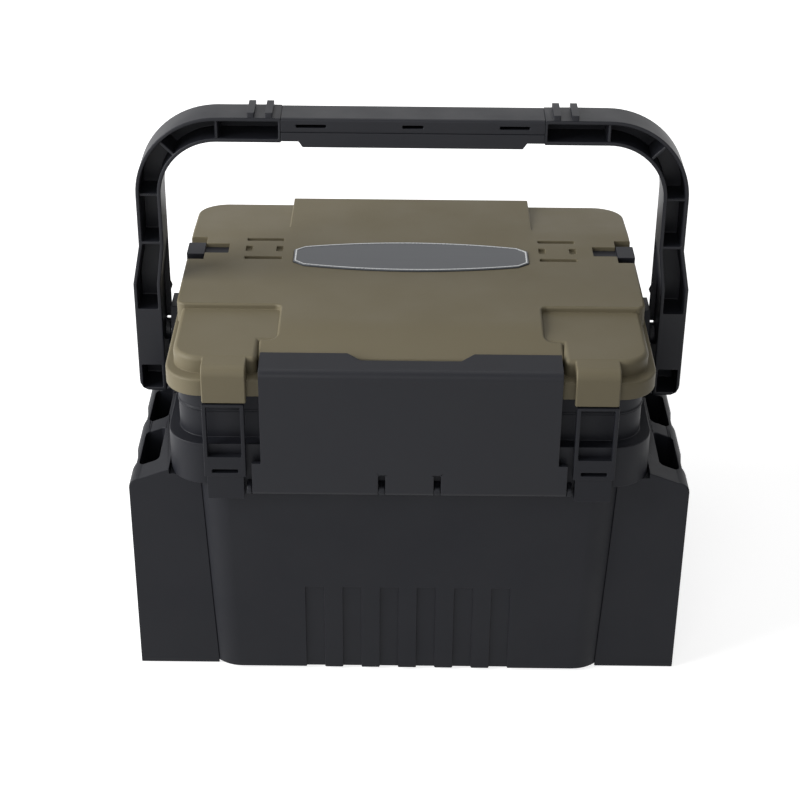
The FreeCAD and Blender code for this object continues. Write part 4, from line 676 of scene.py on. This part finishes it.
def hollow_lid(lid):
    """The room inside the rim, the corners and the plateau, with a wall left round it."""
    half, front, back = RIM_HALF - WALL, RIM_FRONT + WALL, RIM_BACK - WALL
    corners = box_corners(-half, half, front, back)
    rim = prism(corners, RIM_BOTTOM - PAST, RIM_TOP - WALL, "Z", [RIM_ROUND - WALL] * 4)
    combine(lid, new_piece("rim_room", rim, None), "DIFFERENCE")
    middle, outside, back = DECK_CUT_HALF + WALL, DECK_HALF - WALL, RIM_BACK - 2 * WALL
    front, step = DECK_FRONT + WALL, CENTRE_FRONT + WALL
    right = [(middle, step), (middle, front), (outside, front), (outside, back)]
    outline, rounds = both_halves(right, [0, 0, DECK_ROUND - WALL, DECK_ROUND - WALL])
    corner = prism(outline, RIM_TOP - WALL - OVERLAP, CORNER_ROOM_TOP, "Z", rounds)
    combine(lid, new_piece("corner_room", corner, None), "DIFFERENCE")
    inner = CENTRE_HALF - WALL
    corners = box_corners(-inner, inner, SLOPE_MIDDLE, back)
    centre = prism(corners, CORNER_ROOM_TOP - OVERLAP, LID_TOP - WALL)
    combine(lid, new_piece("centre_room", centre, None), "DIFFERENCE")


def split_broad_faces(lid):
    """Divides the broad faces between the hinge ears, so that each stays a simple shape."""
    bm = bmesh.new()
    bm.from_mesh(lid.data)
    cut_lines(bm, BETWEEN_EARS, 0)
    bm.to_mesh(lid.data)
    bm.free()


def lid_knuckles(lid):
    """The two knuckles that turn on the hinge pins."""
    for side in SIDES:
        bm = bmesh.new()
        turn = Matrix.Rotation(math.pi / 2, 4, "Y")
        place = Matrix.Translation((KNUCKLE_X * side, HINGE_Y, HINGE_Z)) @ turn
        bmesh.ops.create_cone(
            bm,
            cap_ends=True,
            segments=32,
            radius1=KNUCKLE_RADIUS,
            radius2=KNUCKLE_RADIUS,
            depth=KNUCKLE_LENGTH,
            matrix=place,
        )
        combine(lid, new_piece("knuckle", bm, None), "UNION")


class CRATE_OT_lid(bpy.types.Operator):
    """Models the olive lid with its plateau, soft corners, straps and slots"""

    bl_idname = "crate.lid"
    bl_label = "Lid"

    def execute(self, context):
        lid = lid_body()
        lid_knuckles(lid)
        hollow_lid(lid)
        cut_lid_details(lid)
        split_broad_faces(lid)
        soften(lid, 0.45 * MM, angle=40)
        settle(lid, "lid", "lid_plastic", "lid_shell")
        return {"FINISHED"}


class CRATE_OT_badge(bpy.types.Operator):
    """Models the bare badge plate with its raised border"""

    bl_idname = "crate.badge"
    bl_label = "Badge"

    def execute(self, context):
        low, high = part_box("lid_badge")
        plate = new_piece(
            "badge_plate", prism(badge_corners(0), low.z, high.z - 0.3 * MM), badge_lacquer()
        )
        soften(plate, 0.3 * MM)
        settle(plate, "lid", "badge_plastic", "lid_badge")
        border = prism(badge_corners(-1.2 * MM), high.z - 0.5 * MM, high.z)
        ring = new_piece("badge_border", border, fine_steel("badge_border_foil", "#B9BBBC"))
        inside = prism(badge_corners(-2.4 * MM), high.z - PAST, high.z + PAST)
        combine(ring, new_piece("badge_inside", inside, None), "DIFFERENCE")
        settle(ring, "lid", "badge_plastic")
        return {"FINISHED"}


class CRATE_OT_tub(bpy.types.Operator):
    """Finishes the tub, its racks, sockets and handle towers"""

    bl_idname = "crate.tub"
    bl_label = "Tub and fittings"

    def execute(self, context):
        sizes, _ = settings()
        plastic = tub_copolymer()
        width, slot = sizes.edge_round, "tub_plastic"
        softened_copy("crate_body", "tub", plastic, width, "tub", slot)
        for side in ("left", "right"):
            for fitting in ("side_rack", "rod_socket", "pivot_tower"):
                node = f"{side}_{fitting}"
                softened_copy(node, f"{node}_moulding", plastic, width, "tub", slot)
            node = f"{side}_handle_stopper"
            softened_copy(node, f"{node}_slider", plastic, width, f"{side}_stopper", slot)
        return {"FINISHED"}


class CRATE_OT_handle(bpy.types.Operator):
    """Finishes the handle's ribbed frame and its grip"""

    bl_idname = "crate.handle"
    bl_label = "Handle and grip"

    def execute(self, context):
        sizes, _ = settings()
        nylon = filled_nylon()
        for node, name in (
            ("handle_frame", "handle_arch"),
            ("grip_upper_shell", "grip_top"),
            ("grip_lower_shell", "grip_underside"),
        ):
            softened_copy(node, name, nylon, sizes.edge_round, "handle", "handle_plastic")
        return {"FINISHED"}


class CRATE_OT_latch(bpy.types.Operator):
    """Finishes the wide front latch"""

    bl_idname = "crate.latch"
    bl_label = "Front latch"

    def execute(self, context):
        across = [side * (LATCH_SLOT_X + step) for side in SIDES for step in (-5 * MM, 5 * MM)]
        up = [LATCH_SLOT_TOP - 4 * MM, LATCH_SLOT_TOP + 3 * MM]
        softened_copy(
            "front_latch",
            "latch_plate",
            filled_nylon(),
            0.4 * MM,
            "latch",
            "handle_plastic",
            [(across, 0), (up, 2)],
        )
        return {"FINISHED"}


class CRATE_OT_hardware(bpy.types.Operator):
    """Gives the feet, screws, pins, washers, clips and tray their finishes"""

    bl_idname = "crate.hardware"
    bl_label = "Feet, metal and tray"

    def execute(self, context):
        rubber, plastic = foot_rubber(), tub_copolymer()
        steel = fine_steel("pin_stainless_steel", "#A9A9A6")
        black_steel = fine_steel("pin_black_oxide_steel", "#2A2A2C")
        for name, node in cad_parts.items():
            if name.endswith("_foot"):
                material = rubber
            elif "tray" in name:
                material = plastic
            elif name == "latch_hinge_pin":
                material = black_steel
            elif any(word in name for word in ("screws", "pin", "washer", "clip")):
                material = steel
            else:
                continue
            node.data.materials.clear()
            node.data.materials.append(material)
        return {"FINISHED"}


def backdrop_rays(tree):
    """One where the camera, a reflection or a refraction looks at the backdrop, else nothing."""
    rays = add_node(tree, "ShaderNodeLightPath")
    mirrored = add_node(
        tree,
        "ShaderNodeMath",
        None,
        {0: (rays, "Is Glossy Ray"), 1: (rays, "Is Transmission Ray")},
        operation="MAXIMUM",
    )
    return add_node(
        tree,
        "ShaderNodeMath",
        None,
        {0: (rays, "Is Camera Ray"), 1: (mirrored, 0)},
        operation="MAXIMUM",
    )


def stage_material():
    """Pale paper floor: white to the camera and in reflections, and it keeps the crate's shadow.

    Near the crate the lamps make up the white, so the shadow stays. Far away the paper's own glow
    does.
    """
    material, tree, shader, place = fresh_material("stage_paper")
    shader.inputs["Base Color"].default_value = (*linear("#C8C8C8"), 1)
    shader.inputs["Roughness"].default_value = 0.9
    shader.inputs["Specular IOR Level"].default_value = 0
    seen = backdrop_rays(tree)
    away = add_node(
        tree, "ShaderNodeVectorMath", None, {0: (place, "Object")}, operation="LENGTH"
    )
    reach = {"From Min": 0.45, "From Max": 1.1, "To Min": 0.8, "To Max": 1.0}
    level = add_node(tree, "ShaderNodeMapRange", reach, {"Value": (away, "Value")})
    glow = add_node(
        tree, "ShaderNodeMath", None, {0: (seen, 0), 1: (level, 0)}, operation="MULTIPLY"
    )
    white = add_node(
        tree, "ShaderNodeEmission", {"Color": (1, 1, 1, 1)}, {"Strength": (glow, 0)}
    )
    both = add_node(tree, "ShaderNodeAddShader", None, {0: (shader, 0), 1: (white, 0)})
    tree.links.new(both.outputs[0], tree.nodes["Material Output"].inputs["Surface"])
    return material


def studio_camera():
    """A camera at the photograph's viewing angle, about 30 degrees above the front."""
    pitch, roll = math.radians(CAMERA_PITCH), math.radians(CAMERA_ROLL)
    forward = Vector((0, math.cos(pitch), -math.sin(pitch)))
    level, upright = Vector((1, 0, 0)), Vector((0, math.sin(pitch), math.cos(pitch)))
    right = level * math.cos(roll) + upright * math.sin(roll)
    up = upright * math.cos(roll) - level * math.sin(roll)
    data = bpy.data.cameras.new("studio_camera")
    data.lens = data.sensor_width * FOCAL_PIXELS / IMAGE_WIDTH
    data.clip_end = 50
    camera = bpy.data.objects.new("studio_camera", data)
    turn = Matrix((right, up, -forward)).transposed().to_4x4()
    camera.matrix_world = Matrix.Translation(CAMERA_PLACE) @ turn
    bpy.context.scene.collection.objects.link(camera)
    bpy.context.scene.camera = camera


def studio_lamp(name, place, size, power):
    """A soft square lamp aimed at the crate."""
    data = bpy.data.lights.new(name, "AREA")
    data.size = size
    data.energy = power
    lamp = bpy.data.objects.new(name, data)
    aim = (Vector(LAMP_AIM) - Vector(place)).to_track_quat("-Z", "Y")
    lamp.matrix_world = Matrix.Translation(place) @ aim.to_matrix().to_4x4()
    bpy.context.scene.collection.objects.link(lamp)


def studio_world():
    """Plain ambient light, and white where the camera or a reflection sees the backdrop."""
    world = bpy.data.worlds.new("studio_world")
    bpy.context.scene.world = world
    world.use_nodes = True
    tree = world.node_tree
    tree.nodes.clear()
    seen = backdrop_rays(tree)
    ambient = add_node(tree, "ShaderNodeBackground", {"Color": (1, 1, 1, 1), "Strength": AMBIENT})
    white = add_node(tree, "ShaderNodeBackground", {"Color": (1, 1, 1, 1), "Strength": 1})
    mix = add_node(tree, "ShaderNodeMixShader", None, {0: (seen, 0), 1: (ambient, 0), 2: (white, 0)})
    add_node(tree, "ShaderNodeOutputWorld", None, {"Surface": (mix, 0)})


class CRATE_OT_stage(bpy.types.Operator):
    """Sets up the floor, the soft light and the camera"""

    bl_idname = "crate.stage"
    bl_label = "Stage"

    def execute(self, context):
        bm = bmesh.new()
        bmesh.ops.create_grid(bm, x_segments=1, y_segments=1, size=FLOOR_HALF)
        floor = new_piece("stage_floor", bm, stage_material())
        studio_world()
        for lamp in LAMPS:
            studio_lamp(*lamp)
        studio_camera()
        context.scene.view_settings.view_transform = "Standard"
        return {"FINISHED"}


class CRATE_PT_panel(bpy.types.Panel):
    """Lists the crate's pieces"""

    bl_label = "Fishing crate"
    bl_idname = "CRATE_PT_panel"
    bl_space_type = "VIEW_3D"
    bl_region_type = "UI"
    bl_category = "Crate"

    def draw(self, context):
        for operator in OPERATORS:
            self.layout.operator(operator.bl_idname)
        for group in (context.scene.crate_sizes, context.scene.crate_colours):
            for name in group.__annotations__:
                self.layout.prop(group, name)


OPERATORS = (
    CRATE_OT_tub,
    CRATE_OT_lid,
    CRATE_OT_badge,
    CRATE_OT_latch,
    CRATE_OT_handle,
    CRATE_OT_hardware,
    CRATE_OT_stage,
)
CLASSES = (CrateSizes, CrateColours) + OPERATORS + (CRATE_PT_panel,)


def register():
    for cls in CLASSES:
        bpy.utils.register_class(cls)
    bpy.types.Scene.crate_sizes = PointerProperty(type=CrateSizes)
    bpy.types.Scene.crate_colours = PointerProperty(type=CrateColours)


def unregister():
    del bpy.types.Scene.crate_colours
    del bpy.types.Scene.crate_sizes
    for cls in reversed(CLASSES):
        bpy.utils.unregister_class(cls)


def main():
    register()
    for operator in OPERATORS:
        group, name = operator.bl_idname.split(".")
        getattr(getattr(bpy.ops, group), name)()


if __name__ == "__main__":
    main()
